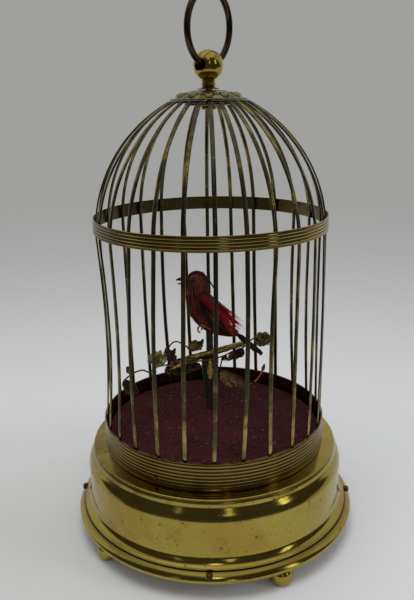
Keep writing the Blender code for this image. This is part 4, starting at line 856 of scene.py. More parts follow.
def make_bars():
    sizes = bpy.context.scene.songbird_cage
    half = sizes.bar_width * MM / 2
    thick = sizes.bar_thickness * MM
    edge = 0.26 * thick
    section = ((-half, edge), (-half + edge, 0), (half - edge, 0), (half, edge), (half, thick - edge),
               (half - edge, thick), (-half + edge, thick), (-half, thick - edge))
    stations = bar_stations()
    for number in range(BARS):
        bend = bend_of(number)
        shift = wander(number * 3.7, 1.3, 0.0)
        points = []
        grime_and_shade_marks = []
        tarnish_and_light_marks = []
        for index, (radius, height, bend_share, twist_share) in enumerate(stations):
            turn = bar_turn(number, twist_share)
            outward = polar(1, turn)
            sideways = polar(1, turn + 90)
            before = stations[max(index - 1, 0)]
            after = stations[min(index + 1, len(stations) - 1)]
            slope = Vector((after[0] - before[0], after[1] - before[1])).normalized()
            inward = outward * -slope.y + UP * slope.x
            place = outward * radius + UP * height + Vector((bend * bend_share, 0, 0))
            place += sideways * (0.16 * bend_share * wander(height / 17, number * 5.1, 2.0))
            roll = 0.10 * bend_share * wander(height / 23, number * 2.3, 7.0)
            points += [place + sideways * across + inward * (depth + roll * across)
                       for across, depth in section]
            # Painted light: the tarnish share rises from the ring up to the perch's height and eases a little
            # over the dome, so the lower ends stay bright. The noise added next is the bars' own patchy
            # tarnish.
            wear_and_painted_light = 0.20 + ease(height, 64.0, 108.0) * 0.18 - 0.03 * ease(height, 178.0, 205.0)
            patch = wander(height / 9, number * 1.9, 11.0)
            wear_and_painted_light += 0.12 * shift + (0.10 + 0.12 * ease(height, 150.0, 190.0)) * patch
            tarnish_and_light_marks += [wear_and_painted_light] * len(section)
            grime_and_shade_marks += [0.55 * ease(height, 227.0, 231.0)] * len(section)
        make_piece(f"bar_{number + 1:02d}", points, wrap(len(stations), len(section)), cage_brass(), "frame",
                   {"groove": grime_and_shade_marks, "age": tarnish_and_light_marks}, sharp=50,
                   stands_for=[f"cage_bar_{number + 1:02d}"])


def make_velvet():
    """The cage's floor, covered with velvet that is pulled over its edge."""
    top = 58.4
    points = [(0.0, 0.0, top - 0.05)]
    sides = 180
    rows = [(step * 1.5, 0.0) for step in range(1, 38)]
    rows += [(57.2, 0.12), (57.7, 0.38), (57.95, 0.8), (58.0, 2.0), (58.0, 7.68)]
    for radius, drop in rows:
        for side in range(sides):
            place = polar(radius, 360 * side / sides)
            swell = 0.22 * noise.fractal(place / 14, 0.8, 2.0, 3) + 0.07 * noise.noise(place / 2.1)
            swell = min(swell, 0.0) if drop > 0.1 else swell * 0.6 - 0.12
            points.append((place.x, place.y, max(top - drop + min(swell, 0.0), RING_LOW + 0.02)))
    faces = [tuple(corner + 1 for corner in face) for face in wrap(len(rows), sides, first=False)]
    faces += [(0, 1 + side, 1 + (side + 1) % sides) for side in range(sides)]
    make_piece("velvet_floor", points, faces, velvet_finish(), "frame", sharp=45,
               stands_for=["cage_floor"])


# Top fittings

def make_rosette():
    count = bpy.context.scene.songbird_cage.bosses
    boss_radius, moat_radius, bead_circle = 1.9, 2.2, 18.2
    under_side, collar = 232.0, 6.0
    levels = ((18.95, 232.1), (18.6, 232.3), (17.6, 232.25), (17.0, 232.5), (15.8, 233.6), (14.2, 234.4),
              (12.6, 234.95), (10.5, 235.3), (8.0, 235.7), (5.8, 236.05), (1.8, 236.1))
    outline = [(1.8, 231.4, 0.6), (18.7, 231.4, 0.6), (18.95, 231.6, 0.4)]
    outline += [(*level, 0.0) for level in finely(levels, 0, 0.35)]
    points, faces, grime_and_shade_marks = spin(outline, 288)
    raised = []
    marks = []
    for point, groove in zip(points, grime_and_shade_marks):
        place = Vector(point)
        radius = math.hypot(place.x, place.y)
        raised.append(place)
        if place.z < under_side or radius < collar:
            marks.append(groove if radius > collar else 0.3)
            continue
        turn = math.degrees(math.atan2(place.y, place.x)) % 360
        pitch = 360 / count
        off = (turn + pitch / 2) % pitch - pitch / 2
        boss = math.hypot(math.radians(off) * radius, radius - BOSS_CIRCLE)
        dome = math.sqrt(max(1 - (boss / boss_radius) ** 2, 0.0))
        moat = math.exp(-((boss - moat_radius) / 0.40) ** 2)
        bead = math.sin(math.radians(turn) * count * 5) * math.exp(-((radius - bead_circle) / 0.4) ** 2)
        half = (turn % pitch) - pitch / 2
        petal = math.exp(-((math.radians(half) * radius) / 0.5) ** 2) * ease(16.4 - abs(radius - 11), 11, 15)
        rib = math.cos(math.radians(turn) * count * 2) * ease(radius, 6.2, 7.5) * ease(11.2 - radius, 0, 1.5)
        dimple = math.exp(-(boss / 0.8) ** 2)
        lift = 0.60 * dome - 0.35 * moat - 0.20 * dimple + 0.08 * bead - 0.10 * petal + 0.15 * rib
        place.z += lift * ease(18.9 - radius, 0.0, 0.4)
        marks.append(min(max(0.95 * moat + 0.3 * dimple + 0.25 * petal * (1 - dome), 0.0), 0.95))
    make_piece("embossed_rosette", raised, faces, rosette_brass(), "frame",
               {"groove": marks, "age": [0.05] * len(marks)}, sharp=60, stands_for=["rosette"])


def make_hub_nut():
    outline = [(1.8, 229.9, 0.4), (11.8, 229.9, 0.4), (12.0, 229.7, 0), (12.0, 229.2, 0), (11.7, 228.95, 0.2),
               (4.4, 228.9, 0.7), (3.75, 228.85, 0.8), (3.75, 227.3, 0), (3.3, 226.85, 0), (2.6, 226.8, 0),
               (1.8, 226.8, 0.6)]
    turned_piece("clamp_nut", softened(outline, 0.2), band_brass(), "frame", 96,
                 stands_for=["hub_nut"])


def bore_edge(turn, bend):
    """The bore's reach at a turn from the top, where the ring's wire has bent this far off its axis."""
    round_part = math.radians(112)
    floor_drop, floor_half = 0.37, 0.93
    past = max(abs(turn) - round_part, 0.0)
    size = bend * math.cos(past) + math.sqrt(max(BORE_RADIUS ** 2 - (bend * math.sin(past)) ** 2, 0.0))
    if past:
        flat = (BORE_RADIUS + floor_drop * bend) / -math.cos(turn)
        if flat * abs(math.sin(turn)) < floor_half * bend:
            size = max(size, flat)
    return size


def make_finial():
    """A turned ball on a neck and collar, with a cross bore flared for the ring's swing."""
    outline = [(0.0, 227.7, 0), (1.5, 227.7, 0), (1.5, 236.4, 0.5), (5.3, 236.4, 0.5), (5.5, 236.55, 0),
               (5.5, 236.85, 0), (5.2, 237.0, 0.2), (4.2, 237.15, 0.7), (3.5, 237.5, 0.5), (3.02, 237.9, 0.2),
               (3.1, 238.3, 0.6), (3.5, 238.45, 0.2), (3.6, 238.75, 0), (3.5, 239.05, 0.2),
               (3.15, 239.25, 0.7), (3.2, 239.8, 0.2), (3.35, 240.6, 0.5)]
    outline = softened(outline, 0.2, 2) + arc((0, BALL_CENTRE.z), BALL_RADIUS, -62.9, 90, 40)
    outline[-1] = (0.0, BALL_CENTRE.z + BALL_RADIUS, 0.0)
    ball = turned_piece("turned_finial", outline, polished_brass(), "frame", 96,
                        stands_for=["finial"])
    along = polar(1, PULL_TURN)
    across = along.cross(UP)
    points = []
    rows = 25
    sides = 48
    half_length = 9.0
    for row in range(rows):
        reach = half_length * (2 * row / (rows - 1) - 1)
        bend = PULL_RADIUS - math.sqrt(PULL_RADIUS ** 2 - reach ** 2)
        for side in range(sides):
            turn = math.tau * side / sides - math.pi
            around = UP * math.cos(turn) + across * math.sin(turn)
            points.append(BALL_CENTRE + along * reach + around * bore_edge(turn, bend))
    cutter = make_piece("ring_bore", points, wrap(rows, sides), polished_brass(), "frame")
    modifier = ball.modifiers.new("bore", "BOOLEAN")
    modifier.operation = "DIFFERENCE"
    modifier.solver = "EXACT"
    modifier.object = cutter
    graph = bpy.context.evaluated_depsgraph_get()
    bored = bpy.data.meshes.new_from_object(ball.evaluated_get(graph))
    ball.modifiers.clear()
    ball.data = bored
    bored.shade_smooth()
    bored.set_sharp_from_angle(angle=math.radians(TURNED_CREASE))
    bpy.data.objects.remove(cutter)


def make_pull_ring():
    lean = math.radians(3.0)
    along = polar(1, PULL_TURN)
    across = along.cross(UP)
    upright = UP * math.cos(lean) + across * math.sin(lean)
    across = along.cross(upright)
    points = []
    tarnish_and_light_marks = []
    steps = 128
    sides = 20
    for step in range(steps):
        turn = math.tau * step / steps
        outward = along * math.sin(turn) - upright * math.cos(turn)
        radius = 1.61 - 0.05 * wander(math.sin(turn) * 2, math.cos(turn) * 2, 4.0)
        for side in range(sides):
            around = math.tau * side / sides
            offset = outward * math.cos(around) + across * math.sin(around)
            points.append(BALL_CENTRE + upright * PULL_RADIUS + outward * PULL_RADIUS + offset * radius)
            tarnish_and_light_marks.append(0.15 * ease(math.cos(turn), 0.2, 0.9))
    make_piece("wire_pull_ring", points, wrap(steps, sides, joined=True), pull_ring_brass(), "ring",
               {"age": tarnish_and_light_marks}, sharp=60, stands_for=["pull_ring"])


# Bird's post and perch

def make_post():
    outline = [(1.2, 58.7), (2.3, 58.7), (2.5, 62.0), (2.9, 66.0), (3.5, 71.0), (4.1, 76.0), (4.6, 81.0),
               (4.85, 85.0), (4.9, 88.0), (4.95, 90.0), (4.6, 91.7), (3.8, 92.4), (2.1, 92.5), (2.1, 95.0),
               (2.05, 98.0), (2.1, 101.0), (2.05, 104.0), (2.1, 107.3), (1.2, 107.3)]
    points, faces, _ = spin([(*level, 0.0) for level in finely(outline, 1, 0.8)], 40, POST)
    rough = []
    tints = []
    for point in points:
        place = Vector(point)
        out = Vector((place.x - POST.x, place.y - POST.y, 0))
        turn = math.atan2(out.y, out.x)
        ridge = noise.fractal(Vector((math.cos(turn) * 2.4, math.sin(turn) * 2.4, place.z / 9)), 0.7, 2.0, 4)
        if out.length > 1.5:
            place -= out.normalized() * (0.10 + 0.10 * ridge)
        rough.append(place)
        tints.append(blended(srgb(10, 9, 8), srgb(30, 25, 19), min(max(0.5 + 0.5 * ridge, 0), 1)))
    make_piece("bark_post", rough, faces, bark_finish(), "frame", {"tint": tints}, sharp=50,
               stands_for=["bird_post"])


def along_perch(along, front, height):
    """A point measured from where the perch passes the post: along it, in front of it and above it."""
    return PERCH_MIDDLE + polar(along, PERCH_TURN) + polar(front, PERCH_TURN - 90) + UP * height


def make_perch():
    """A gilded hollow stick, cut off aslant at its left end, with knots and wear, and painted shade in its
    hollow and under it.
    """
    points = []
    grime_and_shade_marks = []
    tarnish_and_light_marks = []
    sides = 28
    left, right = -18.2, 20.6
    # The third column darkens the knots with deposit, and the hollow at the cut end with painted shade.
    rows = [(-15.2, 0.02, 1.0), (-15.2, 1.35, 1.0), (-18.0, 1.45, 1.0), (left, 1.72, 0.4)]
    for step in range(65):
        share = step / 64
        reach = left + 38.8 * share
        radius = 2.12 + 0.07 * wander(reach / 2.2, 0, 0) - 0.40 * ease(share, 0.3, 1.0)
        knot = math.exp(-((reach + 3.0) / 1.1) ** 2) + math.exp(-((reach - 8.5) / 1.0) ** 2)
        rows.append((reach, radius + 0.09 * knot, 0.35 * knot))
    rows.append((right, 0.02, 0.8))
    for reach, radius, dirt_and_shade in rows:
        for side in range(sides):
            turn = math.tau * side / sides
            out = math.cos(turn)
            up = math.sin(turn)
            slant = 1.1 * out * ease(-reach, 15.6, 18.2) * (radius / 2.1)
            fold = math.sin(3 * turn + 0.16 * reach + 1.4 * wander(reach / 7, 3, 0))
            ripple = 0.12 * fold + 0.05 * wander(reach / 3.2, out * 2, up * 2)
            size = radius - 0.12 + (ripple if radius > 1 else 0)
            points.append(along_perch(max(reach + slant, left), size * out, size * up))
            # Painted shade: the underside is marked darker and more tarnished. The fold valleys and the knots
            # get dark deposit, and the noise is the stick's own wear.
            grime_and_shade_marks.append(max(dirt_and_shade, 0.35 * ease(-up, 0.2, 1.0), 0.75 * ease(-fold, 0.45, 1.0)))
            tarnish_and_light_marks.append(0.25 * ease(-up, -0.2, 0.9) + 0.12 * wander(reach / 3, out, up))
    make_piece("gilt_stick", points, wrap(len(rows), sides), gilt(), "frame",
               {"groove": grime_and_shade_marks, "age": tarnish_and_light_marks}, sharp=50, stands_for=["perch"])


# Bird

SPINE = ((-6.6, 22.3, 6.18, 5.89, -90), (-5.3, 16.3, 7.17, 6.2, -84), (-2.6, 9.4, 7.3, 6.2, -64),
         (2.6, 3.6, 6.27, 5.27, -48), (9.0, -0.9, 3.97, 3.6, -40), (15.4, -3.6, 1.54, 1.86, -40))


def spine_at(share):
    """Across, rise, half thickness, half width and slope of the bird's body, from neck to tail."""
    place = min(max(share, 0.0), 1.0) * (len(SPINE) - 1)
    index = min(int(place), len(SPINE) - 2)
    return [through(column, index, place - index) for column in zip(*SPINE)]


def body_skin(share, turn, lift=0.0):
    """A point over the body's skin and the way out of it. Turn 0 is the back, 180 the breast."""
    across, rise_up, thick, wide, slope = spine_at(share)
    along = polar(1, slope)
    up = Vector((-along.y, 0.0, along.x))
    angle = math.radians(turn)
    out = up * (math.cos(angle) / thick) + Vector((0, math.sin(angle) / wide, 0))
    out.normalize()
    place = Vector((POST.x + across, POST.y, POST_TOP + rise_up))
    place += up * (thick * math.cos(angle)) + Vector((0, wide * math.sin(angle), 0))
    return place + out * lift, out


def rust_tint(place, dice):
    """Rust-brown that turns to a deep red low on the breast and to olive-brown on the upper back."""
    colours = bpy.context.scene.songbird_bird
    rust = tuple(colours.rust)
    deep = srgb(98, 24, 27)
    brown = srgb(78, 52, 36)
    low = ease(124.0 - place.z, 0.0, 12.0) * ease(4.0 - place.x, 0.0, 8.0)
    back = ease(place.x, -4.0, 3.0) * ease(place.z, 108.0, 118.0)
    tint = blended(rust, deep, 0.85 * low)
    tint = blended(tint, brown, 0.5 * back)
    return shaded(tint, 0.35 + 1.25 * dice.random() ** 1.4, 0.08 * (dice.random() - 0.5))


def cover_body(heap, dice, count):
    """Short overlapping feathers over the whole body, laid from the tail forward."""
    for number in range(count):
        share = (1 - ((number + 0.5) / count) ** 0.92) * 0.93
        turn = (number * (360 - GOLDEN_TURN)) % 360
        share = min(max(share + dice.uniform(-0.02, 0.02), 0.0), 0.95)
        turn += dice.uniform(-7, 7)
        length = dice.uniform(0.16, 0.25) * (1 - 0.25 * share)
        drift = dice.uniform(-6, 6)
        raised = dice.uniform(0.15, 0.55)
        laid = [body_skin(share + length * part, turn + drift * part, 0.05 + raised * ease(part, 0.1, 1.0))
                for part in (step / 5 for step in range(6))]
        route, facing = (list(column) for column in zip(*laid))
        tint = rust_tint(route[0], dice)
        # Painted shade: each feather runs from a darker root to a lighter tip, where it lies under the
        # feathers over it.
        plume(heap, route, facing, dice.uniform(0.55, 0.95), 0.12, shaded(tint, 0.75), shaded(tint, 1.3))


def bundle(heap, dice, route, count, spread, fan, width, tint, side):
    """Long feathers that start together and splay apart towards their tips."""
    route = [Vector(point) for point in route]
    along = (route[-1] - route[0]).normalized()
    down = Vector((along.z, 0, -along.x))
    out = Vector((0.15, side * 1.0, 0.2))
    for number in range(count):
        start = Vector((dice.uniform(-1, 1), dice.uniform(-0.5, 0.5), dice.uniform(-1, 1))) * spread
        lean = dice.uniform(-1, 1)
        reach = dice.uniform(0.72, 1.0)
        bow = dice.uniform(-0.5, 0.5)
        points = []
        for step in range(9):
            part = step / 8 * reach
            place = part * (len(route) - 1)
            index = min(int(place), len(route) - 2)
            point = route[index].lerp(route[index + 1], place - index)
            point += start * (1 - part) + down * (lean * fan * part ** 1.6 + bow * math.sin(math.pi * part))
            point.y += 0.35 * math.sin(number * 2.4) * part
            if side > 0:
                point.y = 2 * POST.y - point.y
            points.append(point)
        colour = shaded(tint, dice.uniform(0.4, 1.25), dice.uniform(-0.04, 0.04))
        # Painted shade: each long feather is much darker at its root than at its tip, where it goes in among
        # the body's feathers.
        plume(heap, smooth_route(points, 2), out, width * dice.uniform(0.6, 1.2), 0.10, shaded(colour, 0.35),
              colour)


def make_bird_body():
    colours = bpy.context.scene.songbird_bird
    crimson = tuple(colours.crimson)
    black = tuple(colours.black)
    dice = random.Random(21)
    heap = Heap()
    rows = 44
    sides = 40
    points = [body_skin(row / rows, 360 * side / sides, -0.25)[0]
              for row in range(rows + 1) for side in range(sides)]
    # Painted shade: the skin under the feathers is darker, to stand in for the shade between them.
    tints = [shaded(rust_tint(place, random.Random(index % sides * 7 + index // sides)), 0.55)
             for index, place in enumerate(points)]
    heap.add(points, wrap(rows + 1, sides), tints)
    cover_body(heap, dice, colours.body_feathers)
    dark_wing = blended(black, srgb(52, 44, 34), 0.35)
    bundles = (
        (((-5.6, 9.5, 124.6), (-3.0, 9.3, 117.0), (1.6, 10.3, 106.8)), 30, 0.9, 1.6, 1.0, dark_wing),
        (((-6.6, 9.9, 128.6), (0.5, 9.3, 122.0), (8.0, 10.3, 115.4), (19.2, 11.8, 106.4)), 34, 1.5, 2.2, 0.48,
         crimson),
        (((-2.4, 9.4, 124.0), (5.0, 10.0, 115.4), (10.4, 11.4, 107.6), (13.6, 12.3, 100.2)), 22, 1.3, 1.4,
         0.48, crimson),
        (((2.4, 10.8, 110.4), (6.6, 11.6, 106.6), (11.0, 12.6, 103.4)), 18, 0.7, 1.0, 0.9, black))
    for side in (-1, 1):
        for route, count, spread, fan, width, tint in bundles:
            bundle(heap, dice, route, count, spread, fan, width, tint, side)
    bundle(heap, dice, ((0.5, 15.6, 124.0), (7.5, 15.8, 116.6), (13.0, 15.9, 110.4), (18.0, 16.0, 106.6)),
           count=26, spread=1.6, fan=2.4, width=0.50, tint=shaded(crimson, 0.85), side=-1)
    heap.piece("feathered_body", feather_finish(), "frame", "rust_feathers", stands_for=["bird_body"])
    make_claws()


def make_claws():
    """Thin curled wire feet under the belly."""
    heap = Heap()
    toes = (((-0.6, 108.6), (-2.6, 109.8), (-4.6, 110.8), (-6.3, 111.1), (-7.6, 110.2), (-8.0, 108.6),
             (-7.5, 107.3), (-6.6, 106.9)),
            ((-2.2, 109.4), (-4.0, 110.0), (-5.2, 109.9), (-5.9, 109.0), (-5.8, 108.1)),
            ((-2.6, 109.9), (-4.2, 111.2), (-5.4, 111.8), (-6.4, 111.6)))
    for side in (-1, 1):
        for number, toe in enumerate(toes):
            depth = 5.6 - 0.35 * number
            route = smooth_route([(x, POST.y + side * depth, z) for x, z in toe], 5)
            tube(heap, route, [0.72 - 0.30 * index / (len(route) - 1) for index in range(len(route))], BLACK)
    marks = [0.05] * len(heap.points)
    make_piece("curled_feet", heap.points, heap.faces, gilt(), "frame", {"groove": marks},
               sharp=60)


def head_skin(out, lift=0.0):
    """A point over the head in a direction from its middle, which runs into the neck below."""
    out = out.normalized()
    place = HEAD_CENTRE + out * (5.75 + lift)
    flat = Vector((out.x, out.y, 0))
    if out.z < 0 and flat.length > 0.05:
        wall = HEAD_CENTRE + flat.normalized() * (5.8 + lift) + UP * (out.z * 5.0)
        place = place.lerp(wall, ease(-out.z, 0.0, 0.5))
    return place


def make_bird_head():
    colours = bpy.context.scene.songbird_bird
    rust = tuple(colours.rust)
    dice = random.Random(8)
    heap = Heap()
    points = []
    rows = 26
    sides = 36
    for row in range(rows + 1):
        tilt = math.radians(90 - 138 * row / rows)
        for side in range(sides):
            place = head_skin(polar(math.cos(tilt), 360 * side / sides, math.sin(tilt)), -0.15)
            place.z = max(place.z, NECK.z)
            points.append(place)
    # Painted shade: the head's skin under its feathers is dark, to stand in for the shade between them.
    heap.add(points, wrap(rows + 1, sides, first=False), shaded(rust, 0.35))
    flow = Vector((0.55, 0.0, -1.0)).normalized()
    for number in range(colours.head_feathers):
        height = 1 - 1.55 * (number + 0.5) / colours.head_feathers
        out = polar(math.sqrt(max(1 - height * height, 0)), number * GOLDEN_TURN, height)
        if out.x < -0.86 and -0.35 < out.z < 0.42:
            continue
        way = flow + Vector((0, dice.uniform(-0.12, 0.12), dice.uniform(-0.1, 0.1)))
        if out.x < -0.3:
            way += Vector((0.3, out.y * 1.4, -0.2))
        route = []
        facing = []
        length = dice.uniform(0.65, 1.0)
        raised = dice.uniform(0.1, 0.4)
        for step in range(6):
            tangent = (way - out * way.dot(out)).normalized()
            route.append(head_skin(out, 0.02 + raised * (step / 5)))
            facing.append(out.copy())
            out = (out + tangent * (length / 5)).normalized()
        brown = blended(rust, srgb(96, 62, 38), 0.5 * dice.random() * ease(route[0].z, 131.0, 137.0))
        tint = shaded(brown, 0.35 + 1.2 * dice.random() ** 1.4, dice.uniform(-0.05, 0.05))
        # Painted shade: each head feather runs from a darker root to a lighter tip.
        plume(heap, route, facing, dice.uniform(0.5, 0.85), 0.10, shaded(tint, 0.75), shaded(tint, 1.3))
    make_cap(heap, dice, tuple(colours.black))
    make_neck_fringe(heap, dice, rust)
    heap.piece("feathered_head", [feather_finish(), black_finish()], "head", "rust_feathers",
               stands_for=["bird_head"])
    make_beak_and_eyes()


def make_neck_fringe(heap, dice, rust):
    """Feathers that hang from the head over the neck."""
    for number in range(230):
        out = polar(1, dice.uniform(0, 360))
        back = 0.5 + 0.5 * out.x
        top = dice.uniform(130.4, 135.5)
        start = head_skin(Vector((out.x, out.y, (top - HEAD_CENTRE.z) / 5.8)), 0.1)
        length = dice.uniform(2.6, 5.4)
        end = start - UP * length + Vector((0.16 * length * back, 0, 0))
        across = Vector((end.x - NECK.x, end.y - NECK.y, 0))
        if end.z < 131.5:
            end += across.normalized() * (6.35 + 0.5 * back - across.length)
        tint = shaded(rust, 0.35 + 1.2 * dice.random() ** 1.4, dice.uniform(-0.05, 0.05))
        route = smooth_route([start, start.lerp(end, 0.5) + out * 0.15, end], 3)
        # Painted shade: each hanging feather runs from a darker root to a lighter tip.
        plume(heap, route, out, 0.7, 0.1, shaded(tint, 0.75), shaded(tint, 1.3))


def make_cap(heap, dice, black):
    """A narrow black stripe from the beak over the crown to the nape, and one strand that trails off."""
    for number in range(80):
        across = dice.uniform(-1, 1)
        start = dice.uniform(152, 168)
        end = dice.uniform(8, 34)
        route = []
        facing = []
        for step in range(9):
            angle = math.radians(start + (end - start) * step / 8)
            out = Vector((math.cos(angle), across * (0.20 + 0.12 * step / 8), math.sin(angle)))
            out.normalize()
            route.append(head_skin(out, 0.15 + (0.05 + 0.2 * (number % 3)) * math.sin(math.pi * step / 8)))
            facing.append(out)
        plume(heap, route, facing, 0.7, 0.14, shaded(black, dice.uniform(0.4, 1.3)), look=1, blunt=0.4)
    for depth in (14.6, 15.2, 16.0, 16.6):
        strand = smooth_route([(-5.2, depth, 140.3), (-2.5, depth - 0.3, 137.2), (-0.1, depth - 0.6, 133.8),
                               (2.3, depth - 0.8, 129.6)], 4)
        radii = [0.42 * (1 - 0.55 * index / (len(strand) - 1)) for index in range(len(strand))]
        tube(heap, strand, radii, shaded(black, 0.8), look=1)


def beak_half(heap, spots, thick, sharpness, point, sides):
    """A tapered beak along a route of (across, height)."""
    route = smooth_route([(x, POST.y, z) for x, z in spots], 4)
    radii = [thick * (1 - (index / (len(route) - 1)) ** sharpness) + point for index in range(len(route))]
    tube(heap, route, radii, tuple(bpy.context.scene.songbird_bird.black), sides)


def make_beak_and_eyes():
    black = tuple(bpy.context.scene.songbird_bird.black)
    heap = Heap()
    beak_half(heap, ((-12.9, 136.15), (-14.6, 136.45), (-16.8, 136.55), (-18.6, 136.3), (-19.9, 135.85)),
              thick=1.35, sharpness=1.7, point=0.12, sides=14)
    rows = 9
    sides = 16
    for side in (-1, 1):
        centre = Vector((-10.4, POST.y + side * 5.0, 137.0))
        points = []
        for row in range(rows + 1):
            tilt = math.pi * row / rows - math.pi / 2
            for corner in range(sides):
                turn = math.tau * corner / sides
                out = Vector((math.cos(tilt) * math.cos(turn), 0.75 * math.sin(tilt),
                              0.9 * math.cos(tilt) * math.sin(turn)))
                points.append(centre + out * 1.45)
        heap.add(points, wrap(rows + 1, sides, first=False, last=False), black, look=1)
    heap.piece("upper_beak_and_eyes", [black_finish(), eye_finish()], "head", "black_feathers")


def make_lower_beak():
    heap = Heap()
    beak_half(heap, ((-13.6, 134.0), (-15.2, 133.95), (-17.2, 133.85), (-18.9, 133.95)), thick=0.86,
              sharpness=1.9, point=0.1, sides=12)
    heap.piece("lower_beak", black_finish(), "beak", "horn", stands_for=["bird_lower_beak"])


def make_tail():
    """Long dark feathers with rounded ends and a fine quill, over a few shorter ones."""
    black = tuple(bpy.context.scene.songbird_bird.black)
    heap = Heap()
    slope = polar(1, -40)
    along = Vector((slope.x, 0, slope.y))
    up = Vector((-along.z, 0, along.x))
    blades = ((-0.9, 18.9, 0.30, -0.2), (0.9, 18.6, 0.15, -0.1), (0.0, 17.6, 0.42, 0.0),
              (-1.5, 15.0, -0.15, -0.5), (1.5, 15.2, -0.1, -0.5), (-0.4, 12.5, 0.6, 0.2),
              (0.5, 11.0, 0.75, 0.2))
    for offset, length, lift, dip in blades:
        route = []
        for step in range(15):
            share = step / 14
            place = TAIL_ROOT + along * (length * share) + up * (lift * (1 - 0.5 * share) + dip * share ** 2)
            place.y += offset * (0.35 + 0.65 * share)
            route.append(place)
        tint = shaded(black, 0.5 + 0.2 * (offset % 0.7))
        facing = up + Vector((0, 1.6 if offset > 0 else -1.6, 0))
        # Painted shade: each blade is darker at its root than at its tip, where it goes under the body.
        plume(heap, route, facing, 2.7, 0.30, tint, shaded(tint, 1.2), blunt=0.85)
        tube(heap, route[:-1], [0.14 - 0.1 * index / 14 for index in range(14)], shaded(black, 0.5), 5)
    half = Vector((0, 1.2, 0))
    tube(heap, [TAIL_ROOT - half, TAIL_ROOT + half], 0.95, shaded(black, 0.8), 12)
    heap.piece("feathered_tail", black_finish(), "tail", "black_feathers", stands_for=["bird_tail"])


# Flower spray

def sheet_leaf(heap, dice, base, tip, width, cup, curl, tint, edge, ragged=0.3, out=None, lobes=5):
    """A dry leaf or petal: a thin cupped sheet with a ragged edge and a raised midrib."""
    along = tip - base
    length = along.length
    across = along.cross(out or Vector((0.3, -1.0, 0.2))).normalized()
    normal = across.cross(along).normalized()
    rows = 12
    columns = 8
    points = []
    tints = []
    seed = dice.uniform(0, 50)
    for row in range(rows + 1):
        share = row / rows
        spread = math.sin(math.pi * min(share * 0.92 + 0.06, 1.0)) ** 0.7
        bite = 1 - ragged * abs(math.sin(share * math.pi * lobes + seed))
        for column in range(columns + 1):
            reach = 2 * column / columns - 1
            jag = wander(share * 7, reach * 3, seed)
            side = reach * width / 2 * spread * (bite if abs(reach) > 0.6 else 1) * (1 + 0.18 * jag)
            lift = cup * (reach * reach) * spread + curl * share ** 2 * length + 0.05 * length * jag
            rib = 0.12 * math.exp(-(reach / 0.12) ** 2) * (1 - share)
            points.append(base + along * share + across * side + normal * (lift + rib))
            vein = math.exp(-(reach / 0.1) ** 2) + 0.35 * abs(math.sin(share * 21 + abs(reach) * 5))
            shade = blended(tint, edge, min(max(abs(reach) ** 2 * 0.8 + 0.4 * jag, 0), 1))
            tints.append(shaded(shade, 0.75 + 0.35 * min(vein, 1.0)))
    wide = columns + 1
    starts = [row * wide + column for row in range(rows) for column in range(columns)]
    heap.add(points, [(start, start + 1, start + wide + 1, start + wide) for start in starts], tints)


def tattered_flower(heap, dice, centre, radius, tint, edge, petals):
    for number in range(petals):
        height = 1 - 1.7 * (number + 0.5) / petals
        out = polar(math.sqrt(max(1 - height * height, 0.02)), number * GOLDEN_TURN + 20, height)
        out.y -= 0.25
        out.normalize()
        tip = centre + out * (radius * dice.uniform(0.85, 1.08))
        facing = out.cross(Vector((dice.uniform(-1, 1), dice.uniform(-1, 1), 0.6))).normalized()
        colour = shaded(tint, dice.uniform(0.7, 1.2))
        sheet_leaf(heap, dice, centre + out * (0.12 * radius), tip, radius * dice.uniform(0.95, 1.35),
                   dice.uniform(0.2, 0.9), dice.uniform(-0.12, 0.2), colour, edge, ragged=0.35, out=facing,
                   lobes=3)


def crumpled(heap, dice, centre, spread, count, size, tint, edge):
    """A knot of small dry leaves that point every way."""
    for number in range(count):
        way = Vector((dice.uniform(-1, 1), dice.uniform(-0.7, 0.7), dice.uniform(-1, 0.9))).normalized()
        base = centre + way * (spread * dice.uniform(0.0, 0.5))
        facing = Vector((dice.uniform(-0.8, 0.8), -1.0, dice.uniform(-0.8, 0.8)))
        tip = base + way * (size * dice.uniform(0.6, 1.0))
        sheet_leaf(heap, dice, base, tip, size * dice.uniform(0.5, 0.9), dice.uniform(0.3, 1.2),
                   dice.uniform(-0.2, 0.3), blended(tint, edge, 0.5 * dice.random()), edge, ragged=0.4,
                   out=facing)


